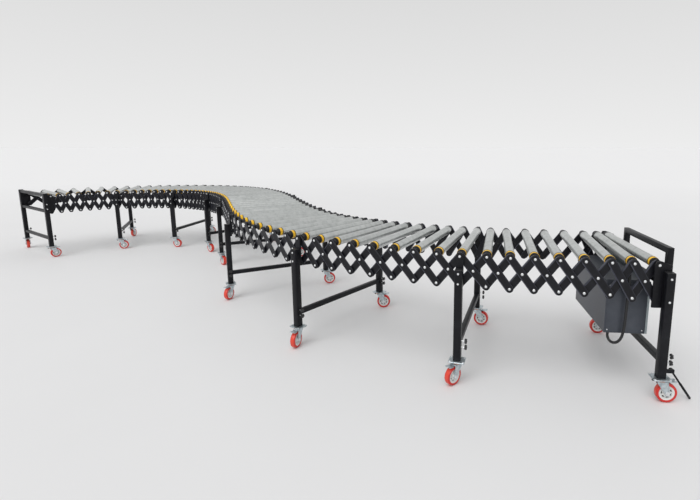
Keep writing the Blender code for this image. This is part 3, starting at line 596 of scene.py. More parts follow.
def rollerPart(plan):
    half = np.array(plan["half"])
    mirrored = half[::-1] * [1.0, -1.0, 1.0]
    slots = np.concatenate([half[::-1][:-1, 2], np.where(half[:, 2] == 1, 2, half[:, 2])])
    return turned(np.concatenate([mirrored, half])[:, :2], plan["sides"], slots)


rollerTemplate = at(rollerPart(rollerPlan), turn=alongY)
rollerMaterials = [steel, yellow, cap]


def axleFrames(numbers):
    frames = stations[np.asarray(numbers)].copy()
    frames[:, 2, 3] += bedPlan["axleHeight"]
    return frames


# scissor links: an outer plate with its three bolts, and an inner plate with a flange

linkPlan = {
    "width": 0.041, "thickness": 0.007, "bevel": 0.0022, "endSteps": 8,
    "flangeDepth": 0.014, "flangeWidth": 0.004, "flangeCorner": 0.0015, "flangeSink": 0.0006,
    "washerRadius": 0.0105, "washerHeight": 0.0012, "domeRadius": 0.0068, "domeHeight": 0.0042,
    "domeStep": 0.0002, "pinRadius": 0.006, "pinReach": 0.013, "sink": 0.0004,
}


def linkOutline(plan):
    # two half circles about the end pivots
    half = bedPlan["pivotLength"] / 2
    angle = np.radians(np.linspace(-90, 90, plan["endSteps"]))
    arc = np.stack([np.cos(angle), np.sin(angle)], 1) * plan["width"] / 2
    return np.concatenate([arc + [half, 0.0], -arc + [-half, 0.0]])


def outerLinkPart(plan):
    # local X from the top pivot to the bottom pivot, local Z out of the bed
    half, face = bedPlan["pivotLength"] / 2, plan["thickness"] / 2
    dome, washer, sink = plan["domeRadius"], plan["washerRadius"], plan["sink"]
    washerTop, domeHeight = face + plan["washerHeight"], plan["domeHeight"]
    head = turned([(washer, face - sink), (washer, washerTop), (dome * 1.02, washerTop + plan["domeStep"]),
                   (dome, face + domeHeight * 0.55), (dome * 0.72, face + domeHeight * 0.92),
                   (dome * 0.25, face + domeHeight)], 10, [2, 2, 1, 1, 1])
    pin = turned([(plan["pinRadius"], -face - plan["pinReach"]), (plan["pinRadius"], sink - face)], 8, 2)
    parts = [prism(linkOutline(plan), plan["thickness"], plan["bevel"])]
    parts += [at(head, x) for x in (-half, 0.0, half)]
    parts += [at(pin, x) for x in (0.0, half)]
    return together(*parts)


def innerLinkPart(plan):
    # the plate and a flange turned into the bed along its upper edge
    half, depth, width = bedPlan["pivotLength"] / 2, plan["flangeDepth"], plan["flangeWidth"]
    flange = at(bar(2 * half, width, depth, plan["flangeCorner"], 0, 2), 0.0, width / 2 - plan["width"] / 2,
                -depth / 2 + plan["thickness"] / 2 - plan["flangeSink"])
    return together(prism(linkOutline(plan), plan["thickness"], plan["bevel"]), flange)


outerTemplate, innerTemplate = outerLinkPart(linkPlan), innerLinkPart(linkPlan)
linkMaterials = [linkBlack, bolt, cap]


def unit(vectors):
    return vectors / np.linalg.norm(vectors, axis=-1, keepdims=True)


def sidePoints(side, layer, heights):
    # station frame * (0, side * layer, height)
    places = stations[:, :3, 3] + stations[:, :3, 1] * side * layer
    places[:, 2] += heights
    return places


def sideHeights(side):
    # drop = root of (link length squared - chord squared); a bottom pivot hangs by the mean of its two units
    axles = sidePoints(side, bedPlan["innerLayer"], bedPlan["axleHeight"])
    chords = np.linalg.norm(np.diff(axles, axis=0), axis=1)
    drops = np.sqrt(bedPlan["pivotLength"] ** 2 - chords ** 2)
    return bedPlan["axleHeight"] - np.concatenate([drops[:1], (drops[:-1] + drops[1:]) / 2, drops[-1:]])


def linkFrames(top, bottom, side, across):
    # columns: along the link, outward x along, outward; the length stretches the first by a hair
    along = unit(bottom - top)
    outward = unit(np.stack([-along[:, 1], along[:, 0], np.zeros(len(along))], 1))
    outward *= np.sign(np.sum(outward * across * side, 1))[:, None]
    frames = np.tile(np.eye(4), (len(top), 1, 1))
    stretch = np.linalg.norm(bottom - top, axis=1, keepdims=True) / bedPlan["pivotLength"]
    frames[:, :3, 0], frames[:, :3, 1] = along * stretch, np.cross(outward, along)
    frames[:, :3, 2], frames[:, :3, 3] = outward, (top + bottom) / 2
    return frames


def bedLinkFrames(units, outer):
    # unit k lies between stations k-1 and k
    units = np.asarray(units)
    frames = []
    for side in (-1, 1):
        layer = bedPlan["outerLayer" if outer else "innerLayer"]
        tops = sidePoints(side, layer, bedPlan["axleHeight"])
        feet = sidePoints(side, layer, sideHeights(side))
        start, end = (units, units - 1) if outer else (units - 1, units)
        frames.append(linkFrames(tops[start], feet[end], side, stations[start, :3, 1]))
    return np.concatenate(frames)


def makeBedTop(number, body, numbers, outerUnits, innerUnits):
    rollers = Shell().take(rollerTemplate, axleFrames(numbers))
    makePiece("rollers_%d" % number, body, rollers, rollerMaterials, ["roller_bed_%d" % number])
    links = Shell().take(outerTemplate, bedLinkFrames(outerUnits, True))
    links.take(innerTemplate, bedLinkFrames(innerUnits, False))
    makePiece("links_%d" % number, body, links, linkMaterials, ["roller_bed_%d" % number])


def makeBeds(plan):
    # bed k has its stations' rollers and outer links, and the inner links that reach one unit further
    limits = plan["bedFirsts"] + [plan["lastStation"] + 1]
    for index, (first, after) in enumerate(zip(limits, limits[1:])):
        number = len(plan["bedFirsts"]) - index
        innerFirst = first if first == plan["foldFirst"] + plan["foldUnits"] + 1 else first + 1
        makeBedTop(number, "bed_%d" % number, range(first, after), range(first, after),
                   range(innerFirst, min(after, plan["lastStation"]) + 1))
    makeBedTop(9, "end_frame", range(0, 3), range(1, 3), range(1, 3))


makeBeds(bedPlan)


def foldLinkFrames(step, outer):
    # the folding units are straight: the foot hangs by the root of (link length squared - pitch squared)
    first = bedPlan["foldFirst"] + step
    pitch = np.linalg.norm(stations[first, :3, 3] - stations[first - 1, :3, 3])
    drop = math.sqrt(bedPlan["pivotLength"] ** 2 - pitch ** 2)
    frames = []
    for side in (-1, 1):
        layer = bedPlan["outerLayer" if outer else "innerLayer"]
        tops = sidePoints(side, layer, bedPlan["axleHeight"])
        start, end = (first, first - 1) if outer else (first - 1, first)
        foot = tops[[end]] - [0.0, 0.0, drop]
        frames.append(linkFrames(tops[[start]], foot, side, stations[[start], :3, 1]))
    return np.concatenate(frames)


def makeFold(plan):
    # lazy tongs: each unit has a pair of outer links, a pair of inner links and its own roller
    for step in range(1, plan["foldUnits"] + 1):
        makePiece("fold_outer_%d" % step, "outer_links_%d" % step,
                  Shell().take(outerTemplate, foldLinkFrames(step, True)), linkMaterials,
                  ["outer_link_pair_%d" % step])
        makePiece("fold_inner_%d" % step, "inner_links_%d" % step,
                  Shell().take(innerTemplate, foldLinkFrames(step, False)), linkMaterials,
                  ["inner_link_near_%d" % step, "inner_link_far_%d" % step])
        makePiece("fold_roller_%d" % step, "roller_%d" % step,
                  Shell().take(rollerTemplate, axleFrames([plan["foldFirst"] + step])), rollerMaterials,
                  ["folding_roller_%d" % step])


makeFold(bedPlan)
print("stage: rollers and links made")


# leg frames: square legs, cross tubes, brackets, foot plates, the castors' top plates, bolts, star knobs

legPlan = {
    "width": 0.040, "corner": 0.004, "line": 0.405, "foot": 0.127, "top": 0.615,
    "capHeight": 0.003, "capStep": 0.001, "capSink": 0.0002,
    "footPlate": (0.086, 0.074, 0.004), "castorPlate": (0.084, 0.072, 0.0028), "plateCorner": 0.006,
    "plateBolts": (0.0350, 0.0290), "plateBolt": (0.0045, 0.0038), "plateNut": (0.0045, 0.0035),
    "boltSink": 0.0002, "nutSink": 0.0003,
    "tube": 0.030, "tubeHeight": 0.215, "tubeReach": 0.3852, "middleTube": 0.520, "topTubeStep": 0.0003,
    "bracketFaces": (0.3735, 0.3850), "bracketFoot": 0.520, "bracketHead": 0.699, "bracketBevel": 0.0010,
    "pivotBolt": (0.0068, 0.0050), "legBolt": (0.0055, 0.0045), "legBolts": (0.598, 0.545),
    "knobHeights": (0.234, 0.200), "knobSink": 0.0005,
}
knobPlan = {
    "lobes": 5, "points": 40, "radius": 0.0118, "lobe": 0.0020, "depth": 0.012, "bevel": 0.0022,
    "place": 0.024, "stem": (0.003, 0.022), "crown": [(0.006, 0.0298), (0.005, 0.0312), (0.002, 0.0316)],
}
endOffset, farEndOffset, farEndTop, endTop = 0.040, -0.055, 0.715, 0.650
washerSink = 0.0003
frameMaterials = [black, bolt, cap, zinc]


def boltPart(radius, height):
    # washer, then a domed head with a flat top
    return turned([(radius * 1.5, -washerSink), (radius * 1.5, height * 0.25), (radius, height * 0.27),
                   (radius, height * 0.62), (radius * 0.86, height * 0.86), (radius * 0.45, height)],
                  12, [2, 2, 1, 1, 1])


def hexPart(radius, height):
    # washer under a chamfered hexagon
    washer = turned([(radius * 1.35, -washerSink), (radius * 1.35, height * 0.22)], 20, 1)
    head = turned([(radius, height * 0.2), (radius, height * 0.88), (radius * 0.86, height)], 6, 1)
    return together(washer, head)


def knobPart(plan):
    # a zinc stem along local Z and a black grip: radius = middle + lobe * cos(lobes * angle)
    angle = np.arange(plan["points"]) * 2 * math.pi / plan["points"]
    radius = plan["radius"] + plan["lobe"] * np.cos(plan["lobes"] * angle)
    outline = np.stack([radius * np.cos(angle), radius * np.sin(angle)], 1)
    stem, reach = plan["stem"]
    return together(turned([(stem, 0.0), (stem, reach)], 10, 1),
                    at(prism(outline, plan["depth"], plan["bevel"], 2), z=plan["place"]),
                    turned(plan["crown"], 12, 2))


def fourCorners(reachX, reachY):
    return [(x * reachX, y * reachY) for x in (-1, 1) for y in (-1, 1)]


def bracketPart(plan, offset, foot):
    # a pointed plate between links and leg: its outline lies in the XZ plane
    half, head = plan["width"] / 2, plan["bracketHead"]
    left, right = min(-half, offset - half), max(half, offset + half)
    outline = np.array([(left, foot), (right, foot), (right, head - half), (half / 2, head),
                        (-half / 2, head), (left, head - half)])
    inner, outer = plan["bracketFaces"]
    return prism(outline, outer - inner, plan["bracketBevel"])


def legPart(plan, top):
    # the square tube with its cap, the foot plate and the castor's plate bolted under it
    width, capWidth, foot = plan["width"], plan["width"] - plan["capStep"], plan["foot"]
    footLength, footWidth, footHeight = plan["footPlate"]
    castorLength, castorWidth, castorHeight = plan["castorPlate"]
    under = foot - footHeight - castorHeight
    parts = [at(bar(width, width, top - foot, plan["corner"]), z=foot + (top - foot) / 2),
             at(bar(capWidth, capWidth, plan["capHeight"], plan["corner"], 2),
                z=top + plan["capHeight"] / 2 - plan["capSink"]),
             at(bar(footLength, footWidth, footHeight, plan["plateCorner"], 3), z=foot - footHeight / 2),
             at(bar(castorLength, castorWidth, castorHeight, plan["plateCorner"], 3),
                z=under + castorHeight / 2)]
    for x, y in fourCorners(*plan["plateBolts"]):
        parts.append(at(hexPart(*plan["plateBolt"]), x, y, foot - plan["boltSink"]))
        parts.append(at(hexPart(*plan["plateNut"]), x, y, under + plan["nutSink"],
                        Matrix.Rotation(math.pi, 4, "X")))
    for height in plan["knobHeights"]:
        parts.append(at(knobPart(knobPlan), width / 2 - plan["knobSink"], 0.0, height, alongX))
    return together(*parts)


def legFrameParts(plan, offset, top, bracketFoot, tubes):
    # one leg each side, then the tubes across as (offset, height, width)
    parts = []
    inner, outer = plan["bracketFaces"]
    for side in (-1, 1):
        outward = nearWards if side < 0 else alongY
        parts.append(at(legPart(plan, top), offset, side * plan["line"]))
        parts.append(at(bracketPart(plan, offset, bracketFoot), 0.0, side * (inner + outer) / 2, 0.0,
                        nearWards))
        parts.append(at(boltPart(*plan["pivotBolt"]), 0.0, side * outer, bedPlan["axleHeight"], outward))
        for height in plan["legBolts"]:
            parts.append(at(boltPart(*plan["legBolt"]), offset, side * (plan["line"] + plan["width"] / 2),
                            height, outward))
    for x, height, width in tubes:
        parts.append(at(bar(width, width, 2 * plan["tubeReach"]), x, 0.0, height, alongY))
    return together(*parts)


def makeLegFrames(plan):
    for index, station in enumerate(bedPlan["legStations"]):
        number = len(bedPlan["legStations"]) - index
        if station == 0:
            continue
        last = station == bedPlan["lastStation"]
        offset, top = (farEndOffset, farEndTop) if last else (0.0, plan["top"])
        tubes = [(offset, plan["tubeHeight"], plan["tube"])]
        if last:
            tubes += [(offset, top - plan["tube"] / 2 - plan["topTubeStep"], plan["tube"]),
                      (offset, plan["middleTube"], plan["tube"])]
        part = legFrameParts(plan, offset, top, plan["bracketFoot"], tubes)
        makePiece("legs_%d" % number, "bed_%d" % number, Shell().take(part, stations[station]),
                  frameMaterials, ["leg_frame_%d" % number])


makeLegFrames(legPlan)


# right end frame: legs, upper tube, arms and sleeves for the stop, lug and pin for the prop

endPlan = {
    "bracketFoot": 0.470, "upperTube": (0.0125, 0.5975, 0.025), "legBolts": (0.624, 0.512),
    "stopOffset": 0.097, "stopLine": 0.266, "stopWidth": 0.030, "stopTop": 0.742, "stopFoot": 0.430,
    "sleeveWidth": 0.0406, "sleeveHole": 0.0308, "sleeveFoot": 0.490, "sleeveTop": 0.620,
    "sleeveCorner": 0.007, "holeCorner": 0.001, "armStep": 0.001,
    "sideBolts": (0.515, 0.595), "sideBolt": (0.0055, 0.0050), "faceBolt": (0.0050, 0.0048),
    "faceBoltHeight": 0.600,
    "stopCorner": 0.003,
    "lugReach": 0.010, "lugHeight": 0.020, "lugThickness": 0.009, "lugLine": -0.0113, "lugCorner": 0.004,
    "pin": [(0.0038, -0.010), (0.0038, 0.008)], "pinBolt": (0.0048, 0.0030), "pinBoltLine": 0.0066,
}
propPlan = {
    "pivot": (0.102, -0.377, 0.150), "angle": 55.0, "reach": 0.1785,      # degrees below the level, metres
    "eyeWalls": [(0.0104, -0.006), (0.0110, -0.0052), (0.0110, 0.0052), (0.0104, 0.006), (0.0043, 0.006),
                 (0.0043, -0.006)],
    "rodRadius": 0.0046, "rodStart": 0.0098, "thickRadius": 0.0058, "joinShares": (0.45, 0.47),
    "footRadius": 0.0061, "footLength": 0.021, "footStep": 0.001, "footRound": 0.003,
    "tipRadius": 0.0048, "tipGap": 0.0005,
}


def closedTube(rings, slots=0):
    # rings joined in order, and the last joined to the first
    rows, columns = rings.shape[:2]
    last = (rows - 1) * columns
    closing = gridFaces(2, columns) + np.array([last, last, -columns, -columns])
    faces = np.concatenate([gridFaces(rows, columns), closing])
    bands = np.repeat(np.broadcast_to(np.asarray(slots), (rows,)), columns)
    return rings.reshape(-1, 3), [(faces[bands == slot], int(slot)) for slot in np.unique(bands)]


def hollowBar(plan):
    # outer wall up, inner wall down, both rims closed
    width, hole = plan["sleeveWidth"], plan["sleeveHole"]
    low, high = plan["sleeveFoot"], plan["sleeveTop"]
    outer = roundedRectangle(width, width, plan["sleeveCorner"], 4)
    inner = roundedRectangle(hole, hole, plan["holeCorner"], 4)
    levels = [(outer, low), (outer, high), (inner, high), (inner, low)]
    return closedTube(np.array([np.column_stack([line, np.full(len(line), z)]) for line, z in levels]))


def stopHolderParts(plan, side):
    # a sleeve for the stop, its arm from the upper tube, and its bolts
    x, z, width = plan["upperTube"]
    offset, line, half = plan["stopOffset"], side * plan["stopLine"], plan["sleeveWidth"] / 2
    armWidth, armEnd = width - plan["armStep"], offset - half + plan["armStep"]
    parts = [at(hollowBar(plan), offset, line),
             at(bar(armWidth, armWidth, armEnd - x), (x + armEnd) / 2, line, z, alongX),
             at(hexPart(*plan["faceBolt"]), offset + half, line, plan["faceBoltHeight"], alongX)]
    return parts + [at(hexPart(*plan["sideBolt"]), offset, line + side * half, height,
                       nearWards if side < 0 else alongY) for height in plan["sideBolts"]]


def lugParts(plan, start):
    # the lug out of the leg, the prop's pin and its bolt head
    x, y, z = propPlan["pivot"]
    end = x + plan["lugReach"]
    return [at(bar(end - start, plan["lugHeight"], plan["lugThickness"], plan["lugCorner"]),
               (end + start) / 2, y + plan["lugLine"], z, nearWards),
            at(turned(plan["pin"], 12, 1), x, y, z, alongY),
            at(boltPart(*plan["pinBolt"]), x, y + plan["pinBoltLine"], z, alongY)]


def makeEndFrame(plan, legs):
    tubes = [(endOffset, legs["tubeHeight"], legs["tube"]), plan["upperTube"]]
    endLegs = {**legs, "legBolts": plan["legBolts"]}
    parts = [legFrameParts(endLegs, endOffset, endTop, plan["bracketFoot"], tubes)]
    parts += stopHolderParts(plan, -1) + stopHolderParts(plan, 1)
    parts += lugParts(plan, endOffset + legs["width"] / 2 - plan["armStep"])
    makePiece("right_end_frame", "end_frame", Shell().take(together(*parts), stations[0]), frameMaterials,
              ["end_frame"])


makeEndFrame(endPlan, legPlan)


def mitred(section, corners, sideways):
    # a ring stands on the plane that halves each corner, wider by 1 / cos(half the turn)
    runs = unit(np.diff(corners, axis=0))
    before, after = np.concatenate([runs[:1], runs]), np.concatenate([runs, runs[-1:]])
    middle = unit(before + after)
    upward = np.cross(sideways, middle) / np.sum(middle * after, 1)[:, None]
    return tube(corners[:, None] + upward[:, None] * section[None, :, :1]
                + np.asarray(sideways) * section[None, :, 1:])


def makeStop(plan):
    # the U-shaped stop: a square tube up, across and down, its ends in the sleeves
    x, line, width = plan["stopOffset"], plan["stopLine"], plan["stopWidth"]
    top = plan["stopTop"] - width / 2
    corners = np.array([(x, -line, plan["stopFoot"]), (x, -line, top), (x, line, top),
                        (x, line, plan["stopFoot"])])
    part = mitred(roundedRectangle(width, width, plan["stopCorner"]), corners, (1.0, 0.0, 0.0))
    makePiece("end_stop_bar", "end_stop", Shell().take(part, stations[0]), [black], ["end_stop"])


def makeProp(plan):
    # an eye on the pin, a thin rod and a thicker rubber foot
    turn = Matrix.Rotation(math.pi / 2 + math.radians(plan["angle"]), 4, "Y")
    angle = np.arange(20) * 2 * math.pi / 20
    circle = np.stack([np.cos(angle), np.sin(angle)], 1)
    eye = closedTube(np.array([np.column_stack([circle * radius, np.full(20, z)])
                               for radius, z in plan["eyeWalls"]]))
    reach, footStart = plan["reach"], plan["reach"] - plan["footLength"]
    thin, thick, rubberRadius = plan["rodRadius"], plan["thickRadius"], plan["footRadius"]
    thinEnd, thickStart = (share * reach for share in plan["joinShares"])
    rod = turned([(thin, plan["rodStart"]), (thin, thinEnd), (thick, thickStart),
                  (thick, footStart - plan["footStep"]), (rubberRadius, footStart),
                  (rubberRadius, reach - plan["footRound"]), (plan["tipRadius"], reach - plan["tipGap"])],
                 16, [0, 0, 0, 0, 1, 1])
    part = together(at(eye, turn=alongY), at(rod, turn=turn))
    frames = stations[0] @ np.array(Matrix.Translation(plan["pivot"]))
    makePiece("floor_prop_rod", "floor_prop", Shell().take(part, frames), [black, rubber], ["floor_prop"])


makeStop(endPlan)
makeProp(propPlan)
print("stage: leg frames, stop and prop made")


# castors: swivel ring, fork, pedal and wheel, in a frame with the swivel axis on Z and the trail on +X

castorPlan = {
    "near": [0, 0, 0, 10, 20, -43, -70, -122, 0],     # degrees, left end first, as in the solids
    "far": [80, 70, 60, 40, 50, 73, 38, 0, 180],
    "trail": 0.032, "axleHeight": 0.050, "axleRadius": 0.0055, "axleReach": 0.0178,
    "axleNut": (0.0078, 0.0052),
    "ring": [(0.024, 0.1098), (0.0275, 0.1128), (0.0290, 0.1142), (0.0302, 0.1146), (0.0304, 0.1172),
             (0.0295, 0.1180), (0.0260, 0.1199)],
    "cheekLine": 0.020, "cheekThickness": 0.004, "cheekBevel": 0.0008,
    "crownHeight": 0.1105, "crownCorner": 0.008,
    "cheekHeights": [0.0372, 0.0385, 0.0410, 0.0450, 0.0500, 0.0550, 0.0700, 0.0850, 0.0960],
    "footRadius": 0.013, "footLeast": 0.003, "neckHeight": 0.103, "neckReach": 0.026,
    "screw": [(0.0032, 0.0), (0.0032, 0.012)], "screwPlace": (-0.016, 0.0, 0.1085), "screwTilt": -80,
    "grip": [(0.0050, 0.011), (0.0058, 0.0125), (0.0058, 0.0185), (0.0040, 0.0205)],
}
pedalPlan = {
    "edge": [(0.026, 0.012), (0.038, 0.012), (0.046, 0.0180), (0.060, 0.0205), (0.072, 0.0192),
             (0.0765, 0.014), (0.0755, 0.006), (0.069, 0.003)],
    "thickness": 0.0032, "bevel": 0.0008, "height": 0.1062, "bendStart": 0.044, "bendShare": 0.12,
    "pad": (0.018, 0.022, 0.0038), "padCorner": 0.002, "padPlace": (0.040, 0.0, 0.1028),
    "rib": (0.024, 0.004, 0.003), "ribCorner": 0.001, "ribPlace": (0.056, 0.0, 0.1092),
}
wheelPlan = {
    "core": [(0.0040, 0.0172), (0.0100, 0.0172), (0.0106, 0.0166), (0.0126, 0.0122), (0.0150, 0.0108),
             (0.0196, 0.0108), (0.0202, 0.0108), (0.0266, 0.0108), (0.0272, 0.0108), (0.0322, 0.0110),
             (0.0345, 0.0130), (0.0376, 0.0136)],      # radius and half width
    "tread": [(0.0370, 0.0132), (0.0382, 0.0148), (0.0450, 0.0151), (0.0480, 0.0141), (0.0494, 0.0115),
              (0.0499, 0.0070), (0.0500, 0.0025)],
    "slots": 7, "columns": 84, "ribColumns": 2, "sunkRows": (6, 8), "sunkShare": 0.42, "treadColumns": 60,
}
# cap, in the last slot, also paints the shade in the floors of the wheel core's slots
castorMaterials = [zinc, bolt, red, core, copper, rubber, cap]


def forkPart(plan):
    # a sheet bent over the wheel: its width narrows from the crown to a round foot about the axle
    line, crown, corner = plan["cheekLine"], plan["crownHeight"], plan["crownCorner"]
    axle, foot, neck = plan["axleHeight"], plan["footRadius"], plan["neckHeight"]
    rise = [(line, z) for z in plan["cheekHeights"]]
    arc = [(line - corner + corner * math.cos(a), crown - corner + corner * math.sin(a))
           for a in np.radians(np.linspace(0, 90, 5))]
    half = np.array(rise + arc)
    path = np.concatenate([half, half[::-1] * [-1.0, 1.0]])
    tangent = unit(np.gradient(path, axis=0))
    normal = np.stack([tangent[:, 1], -tangent[:, 0]], 1)
    z = path[:, 1]
    rounded = np.sqrt(np.maximum(foot ** 2 - (np.minimum(z, axle) - axle) ** 2, plan["footLeast"] ** 2))
    reach = np.where(z < axle, rounded, np.interp(z, [axle, neck], [foot, plan["neckReach"]]))
    middle = np.interp(z, [axle, neck], [plan["trail"], plan["trail"] / 4])
    b, t = plan["cheekBevel"], plan["cheekThickness"] / 2
    ring = [(-1, 0.0, b - t), (-1, 0.0, t - b), (-1, b, t), (1, -b, t), (1, 0.0, t - b), (1, 0.0, b - t),
            (1, -b, -t), (-1, b, -t)]
    rings = np.stack([np.column_stack([middle + along * reach + shift, path + normal * level])
                      for along, shift, level in ring], 1)
    return tube(rings)


def corePart(plan):
    # a moulded disc from hub to hub: radius and half width by rows, with sunk slots in one ring, whose
    # floors are coloured black as painted shade
    rows = np.array(plan["core"])
    sunk = np.zeros(len(rows), bool)
    sunk[slice(*plan["sunkRows"])] = True
    rows = np.concatenate([rows, rows[::-1] * [1.0, -1.0]])
    sunk = np.concatenate([sunk, sunk[::-1]])
    column = np.arange(plan["columns"])
    period, rib = plan["columns"] // plan["slots"], plan["ribColumns"]
    window = (column % period >= rib) & (column % period < period - rib)
    angle = column * 2 * math.pi / plan["columns"]
    dip = sunk[:, None] & window[None]
    width = rows[:, 1:] * np.where(dip, plan["sunkShare"], 1.0)
    rings = np.stack([rows[:, :1] * np.cos(angle), rows[:, :1] * np.sin(angle), width], 2)
    points, groups = tube(rings, 3)
    faces = groups[0][0]
    # painted shade: faces inside the sunk slots take slot 6, the black cap material, in place of the white
    # core
    dark = dip.reshape(-1)[faces].all(1)
    return points, [(faces[~dark], 3), (faces[dark], 6)] + groups[1:]


def treadPart(plan):
    # the tyre's section goes round the core as a closed ring
    columns = plan["treadColumns"]
    section = np.array([(radius, -place) for radius, place in plan["tread"]] + plan["tread"][::-1])
    angle = np.arange(columns) * 2 * math.pi / columns
    rings = np.stack([section[:, :1] * np.cos(angle), section[:, :1] * np.sin(angle),
                      np.repeat(section[:, 1:], columns, 1)], 2)
    return closedTube(rings, 2)


def pedalPart(plan):
    # two wings behind the wheel on one neck, bent a little upward, with a rubber pad above the tread
    outline = np.array([(x, -y) for x, y in plan["edge"]] + plan["edge"][::-1])
    points, groups = prism(outline, plan["thickness"], plan["bevel"])
    lift = np.maximum(points[:, 0] - plan["bendStart"], 0.0) * plan["bendShare"] + plan["height"]
    wings = points + np.column_stack([np.zeros((len(points), 2)), lift])
    return together((wings, groups), at(bar(*plan["pad"], plan["padCorner"], 5), *plan["padPlace"]),
                    at(bar(*plan["rib"], plan["ribCorner"]), *plan["ribPlace"]))


def forkSetPart(plan):
    # all that swivels but doesn't roll
    trail, axle, reach = plan["trail"], plan["axleHeight"], plan["axleReach"]
    outside = plan["cheekLine"] + plan["cheekThickness"] / 2
    pin = turned([(plan["axleRadius"], -reach), (plan["axleRadius"], reach)], 16, 1)
    screw = together(turned(plan["screw"], 10, 1), turned(plan["grip"], 14, 6))
    tilt = Matrix.Rotation(math.radians(plan["screwTilt"]), 4, "Y")
    return together(turned(plan["ring"], 32, [0, 0, 0, 4, 4, 0]), forkPart(plan), pedalPart(pedalPlan),
                    at(hexPart(*plan["axleNut"]), trail, -outside, axle, nearWards),
                    at(hexPart(*plan["axleNut"]), trail, outside, axle, alongY),
                    at(pin, trail, 0.0, axle, alongY), at(screw, *plan["screwPlace"], tilt))


def wheelPart(plan):
    return at(together(corePart(wheelPlan), treadPart(wheelPlan)), plan["trail"], 0.0, plan["axleHeight"],
              alongY)


def makeCastors(plan):
    forkSet, wheel = forkSetPart(plan), wheelPart(plan)
    for index, station in enumerate(bedPlan["legStations"]):
        number = len(bedPlan["legStations"]) - index
        offset = {0: endOffset, bedPlan["lastStation"]: farEndOffset}.get(station, 0.0)
        for side, word in ((-1, "near"), (1, "far")):
            angle = math.radians(plan[word][number - 1])
            turn = Matrix.Translation((offset, side * legPlan["line"], 0.0)) @ Matrix.Rotation(angle, 4, "Z")
            place = stations[station] @ np.array(turn)
            if station == 0:
                makePiece("fork_%s" % word, "end_fork_%s" % word, Shell().take(forkSet, place),
                          castorMaterials, ["end_castor_fork_%s" % word])
                makePiece("wheel_%s" % word, "end_wheel_%s" % word, Shell().take(wheel, place),
                          castorMaterials, ["end_castor_wheel_%s" % word])
            else:
                makePiece("castor_%s_set_%d" % (word, number), "castor_%s_%d" % (word, number),
                          Shell().take(together(forkSet, wheel), place), castorMaterials,
                          ["castor_%s_%d" % (word, number)])


makeCastors(castorPlan)
print("stage: castors made")


# control box with its lid lip, cover, glands and carrier plate, and the electrics beside it

boxPlan = {
    "left": -0.2033, "right": -0.0033, "near": -0.300, "far": 0.205, "foot": 0.300, "top": 0.580,
    "corner": 0.0012, "chamfer": 0.014, "bevel": 0.0015,
    "lipHeight": 0.012, "lipStep": 0.002, "lipLine": 0.568, "lipGap": 0.020, "lipCorner": 0.002,
    "cover": (0.186, 0.250, 0.0016), "coverCorner": 0.003, "coverDrop": 0.006, "coverSink": 0.0006,
    "screw": [(0.0032, -0.0004), (0.0032, 0.0008), (0.0024, 0.0016), (0.0010, 0.0017)], "screwInset": 0.008,
    "glands": [(-0.100, -0.262, 0.580, 1), (-0.170, -0.262, 0.300, -1)],      # place, and up or down
    "glandNut": [(0.0125, -0.001), (0.0125, 0.0055), (0.0118, 0.0062)],
    "glandDome": [(0.0105, 0.006), (0.0112, 0.0068), (0.0104, 0.0115), (0.0086, 0.0140), (0.0074, 0.0144)],
    "plateFar": 0.312, "plateTop": 0.610, "plateThickness": 0.0030, "plateLine": 0.0017,
    "plateCorner": 0.001,
    "flangeReach": 0.0065, "flangeThickness": 0.0025, "flangeTop": 0.576, "flangeStep": 0.002,
    "flangeSink": 0.0006,
}


def housingParts(plan):
    # the housing's outline in the XZ plane: small corners, and a chamfer along the upper right edge
    left, right, foot, top = plan["left"], plan["right"], plan["foot"], plan["top"]
    c, s = plan["chamfer"], plan["corner"]
    depth, y = plan["far"] - plan["near"], (plan["near"] + plan["far"]) / 2
    outline = np.array([(left, foot + s), (left + s, foot), (right - s, foot), (right, foot + s),
                        (right, top - c), (right - c, top), (left + s, top), (left, top - s)])
    lip = bar(right - left + 2 * plan["lipStep"] - plan["lipGap"], depth + 2 * plan["lipStep"],
              plan["lipHeight"], plan["lipCorner"])
    return [at(prism(outline, depth, plan["bevel"]), 0.0, y, 0.0, nearWards),
            at(lip, (left + right - plan["lipGap"]) / 2, y, plan["lipLine"])]


def coverParts(plan):
    width, height, thick = plan["cover"]
    x, z = (plan["left"] + plan["right"]) / 2, (plan["foot"] + plan["top"]) / 2 - plan["coverDrop"]
    y, inset = plan["near"] + plan["coverSink"], plan["screwInset"]
    screw = turned(plan["screw"], 12, 1)
    return [at(bar(width, height, thick, plan["coverCorner"]), x, y - thick / 2, z, nearWards)] + [
        at(screw, x + across, y - thick, z + rise, nearWards)
        for across, rise in fourCorners(width / 2 - inset, height / 2 - inset)]


def glandParts(plan):
    gland = together(turned(plan["glandNut"], 6, 2), turned(plan["glandDome"], 20, 2))
    return [at(gland, x, y, z, Matrix.Rotation(0.0 if upward > 0 else math.pi, 4, "X"))
            for x, y, z, upward in plan["glands"]]


def makeBox(plan):
    parts = housingParts(plan) + coverParts(plan) + glandParts(plan)
    makePiece("control_box_housing", "end_frame", Shell().take(together(*parts), stations[0]),
              [boxGrey, bolt, cap], ["control_box"])


